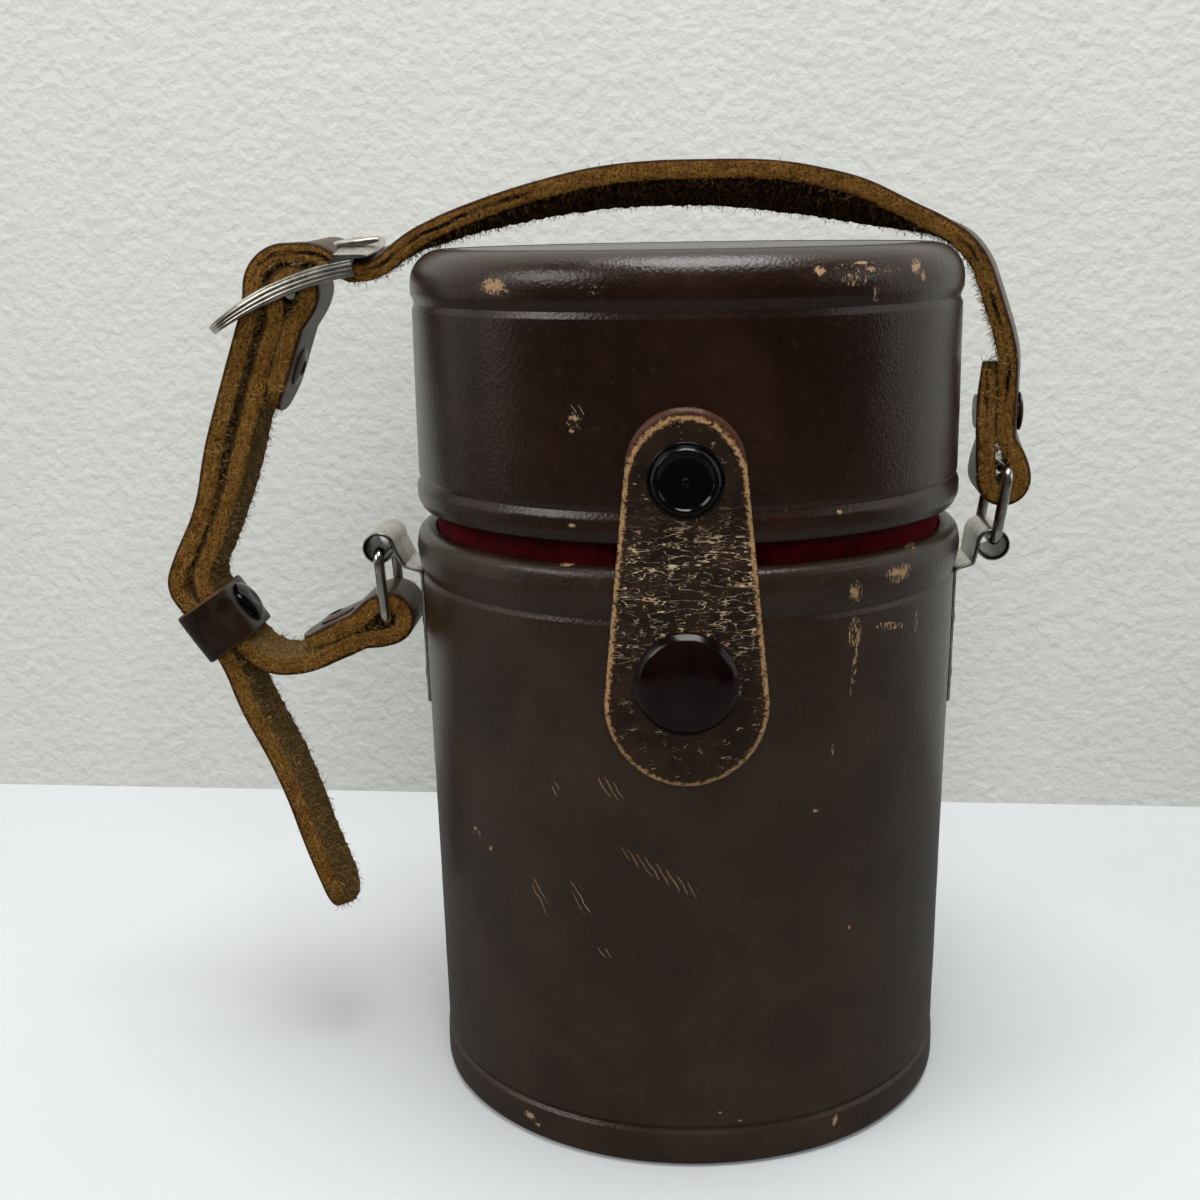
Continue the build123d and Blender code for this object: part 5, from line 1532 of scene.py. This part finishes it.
seat(buckle_rails(), "case", "nickel", "buckle_frame")
seat(buckle_leaf(), "case", "nickel")
seat(buckle_cheek("buckle_cheek_near", -RAIL_Y), "case", "nickel")
seat(buckle_cheek("buckle_cheek_far", RAIL_Y), "case", "nickel")
seat(centre_bar(), "case", "nickel")
seat(tongue(), "prong", "nickel", "buckle_prong")
seat(prong_eye(), "prong", "nickel")

# %% [markdown]
# ## Caps on the tab
# The press stud's cap is a broad maroon dome with a thin flat rim. The rivet above it is
# glossy black: a raised ring, a sunk floor and a small pip in the middle. Both are turned about
# an axis that points out of the front of the case.

# %% Turn the caps
def front_cap(name, profile, z, finish, body_name, slot, node):
    """Cap of revolution about the case's front axis. profile heights are from the case's axis."""
    seat(spun(name, profile, finish, 96, 0.0, z), body_name, slot, node)


snap_profile = rounded([
    (0.0, 44.6), (7.2, 45.4), (7.45, 47.0, 0.2), (7.4, 47.6, 0.5), (6.6, 48.55, 1.4),
    (4.9, 49.3, 4.0), (2.2, 49.6, 9.0), (0.0, 49.62),
], 0.4, 8.0)
front_cap("snap_dome", snap_profile, SNAP_Z, brown_cap, "tab", "brown_cap", "snap_cap")
rivet_profile = rounded([
    (0.0, 45.0), (5.2, 45.2), (5.45, 46.0, 0.2), (5.4, 46.55, 0.2), (5.05, 46.7, 0.15),
    (4.85, 46.45, 0.1), (4.8, 47.2, 0.3), (4.4, 47.75, 0.35), (4.0, 47.72, 0.3), (3.6, 47.35, 0.5),
    (0.55, 47.25, 0.2), (0.42, 47.42, 0.12), (0.0, 47.45),
], 0.25, 12.0)
front_cap("cap_rivet", rivet_profile, RIVET_Z, black_cap, "lid", "black_cap", "tab_cap_rivet")

# %% [markdown]
# ## Finishes for the CAD parts that stay
# The rivets, the press stud's inner parts and the fibre shells are shaped well enough by the
# CAD. They keep their meshes and only get these finishes.

# %% Finish the CAD parts
KEPT = {
    "body_core": fibre, "base_disc": fibre, "lid_core": fibre,
    "snap_stud": brass, "snap_socket": brass,
    "left_lug_rivets": rivet_black, "right_lug_rivets": rivet_black,
    "left_strap_rivet": brown_rivet, "right_strap_rivet": brown_rivet,
    "buckle_strap_rivet": brown_rivet,
    "hinge_rivets_lid": rivet_black, "hinge_rivets_body": rivet_black,
}
for node, finish in KEPT.items():
    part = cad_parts[node]
    if not part.material_slots:
        part.data.materials.append(finish)
    for slot_place in part.material_slots:
        slot_place.material = finish
print("kept", len(KEPT), "CAD parts")

# %% [markdown]
# ## Floor, wall and light
# The case stands on a pale floor in front of a pale wall, which both show their front face
# alone, so that a view from behind still sees the case. Soft light comes from panels: a key
# high on the left, a weak fill on the right, one above, and a broad one in front that leaves no
# reflection. Two tall strips draw the long soft highlights that show that the leather is satin.

# %% Set the stage
DIM, GLOW = (0.15, 0.60), (0.40, 1.10)
FAR = 2500
AMBIENT, BACKDROP = (0.054, 0.057, 0.060, 1), (0.66, 0.67, 0.66, 1)


def plain_finish(name, colour, grain, depth, unseen=1.0, afar=None):
    """Pale matt paint with a faint texture, which shows on its front face alone.

    To all but the camera it is unseen times as bright, or afar times beyond DIM. Past the
    reach of the lamps, beyond GLOW, the camera sees it glow."""
    paint = Finish(name, specular_ior_level=0.2, roughness=0.85, emission_strength=1.0)
    tone = paint.noise(grain * 8, 3)
    shade = tuple(0.93 * c for c in colour)
    seen = paint.node("ShaderNodeLightPath", out="Is Camera Ray")
    away, glow = tuple(unseen * c for c in colour), (0.0, 0.0, 0.0)
    if afar is not None:
        where = paint.place()
        out, along = paint.axis(where, "X"), paint.axis(where, "Y")
        square = out * out + along * along
        far = square.step(DIM[0] ** 2, DIM[1] ** 2)
        away = paint.mix(far, away, tuple(afar * c for c in colour))
        glow = paint.mix(square.step(GLOW[0] ** 2, GLOW[1] ** 2) * seen, glow, colour)
    pale = paint.mix(seen, away, paint.mix(tone, shade, colour))
    front = 1.0 - paint.node("ShaderNodeNewGeometry", out="Backfacing")
    relief = paint.relief((paint.noise(grain, 3), depth))
    return paint.done(base_color=pale, emission_color=glow, alpha=front, normal=relief)


def stage_plane(name, corners, finish, facing):
    """Flat piece of the stage, whose front looks the way of facing."""
    piece = make_piece(name, corners, [(0, 1, 2, 3)], finish)
    if piece.data.polygons[0].normal.dot(Vector(facing)) < 0:
        piece.data.flip_normals()


floor_paint = plain_finish("floor_paint", (0.64, 0.66, 0.67), 9.0, 0.10, 0.26, 0.03)
wall_paint = plain_finish("wall_paint", (0.72, 0.73, 0.69), 2.6, 0.48)
floor = [(-FAR, -FAR, 0), (FAR, -FAR, 0), (FAR, FAR, 0), (-FAR, FAR, 0)]
stage_plane("floor", floor, floor_paint, (0, 0, 1))
wall = [(-FAR, 240, -5), (FAR, 0, -5), (FAR, 0, FAR), (-FAR, 240, FAR)]
stage_plane("wall", wall, wall_paint, (0, -1, 0))


def panel_light(name, place, aim_z, size, power, warmth, glossy=True):
    """Soft panel of a width and height, in metres and watts. If not glossy, nothing mirrors it."""
    data = bpy.data.lights.new(name, "AREA")
    data.shape, (data.size, data.size_y) = "RECTANGLE", size
    data.energy, data.color = power, warmth
    lamp = bpy.data.objects.new(name, data)
    bpy.context.collection.objects.link(lamp)
    way = (Vector((0, 0, aim_z)) - Vector(place)).to_track_quat("-Z", "Y")
    lamp.matrix_world = Matrix.Translation(place) @ way.to_matrix().to_4x4()
    lamp.visible_glossy = glossy


panel_light("key", (-0.85, -0.45, 0.75), 0.07, (0.5, 0.5), 3.8, (1.0, 0.98, 0.95))
panel_light("fill", (0.95, -0.30, 0.50), 0.07, (0.4, 0.4), 0.5, (0.95, 0.98, 1.0))
panel_light("left_strip", (-0.90, -0.12, 0.25), 0.09, (0.12, 0.9), 0.55, (1, 1, 1))
panel_light("right_strip", (0.90, 0.0, 0.25), 0.09, (0.12, 0.9), 0.35, (1, 1, 1))
panel_light("top", (0.05, -0.12, 0.90), 0.05, (0.5, 0.5), 6.6, (1, 1, 1))
panel_light("front", (0.10, -1.20, 0.55), 0.07, (0.8, 0.8), 9.4, (1, 1, 1), False)
world = bpy.data.worlds.new("studio")
bpy.context.scene.world = world
world.use_nodes = True
sky = world.node_tree.nodes["Background"]
camera_ray = world.node_tree.nodes.new("ShaderNodeLightPath").outputs["Is Camera Ray"]
tint = world.node_tree.nodes.new("ShaderNodeMix")
tint.data_type = "RGBA"
tint.inputs[6].default_value = AMBIENT
tint.inputs[7].default_value = BACKDROP
world.node_tree.links.new(camera_ray, tint.inputs[0])
world.node_tree.links.new(tint.outputs[2], sky.inputs["Color"])
sky.inputs["Strength"].default_value = 1.0
bpy.context.scene.view_settings.view_transform = "Standard"
print("stage set,", len(bpy.data.lights), "lights")
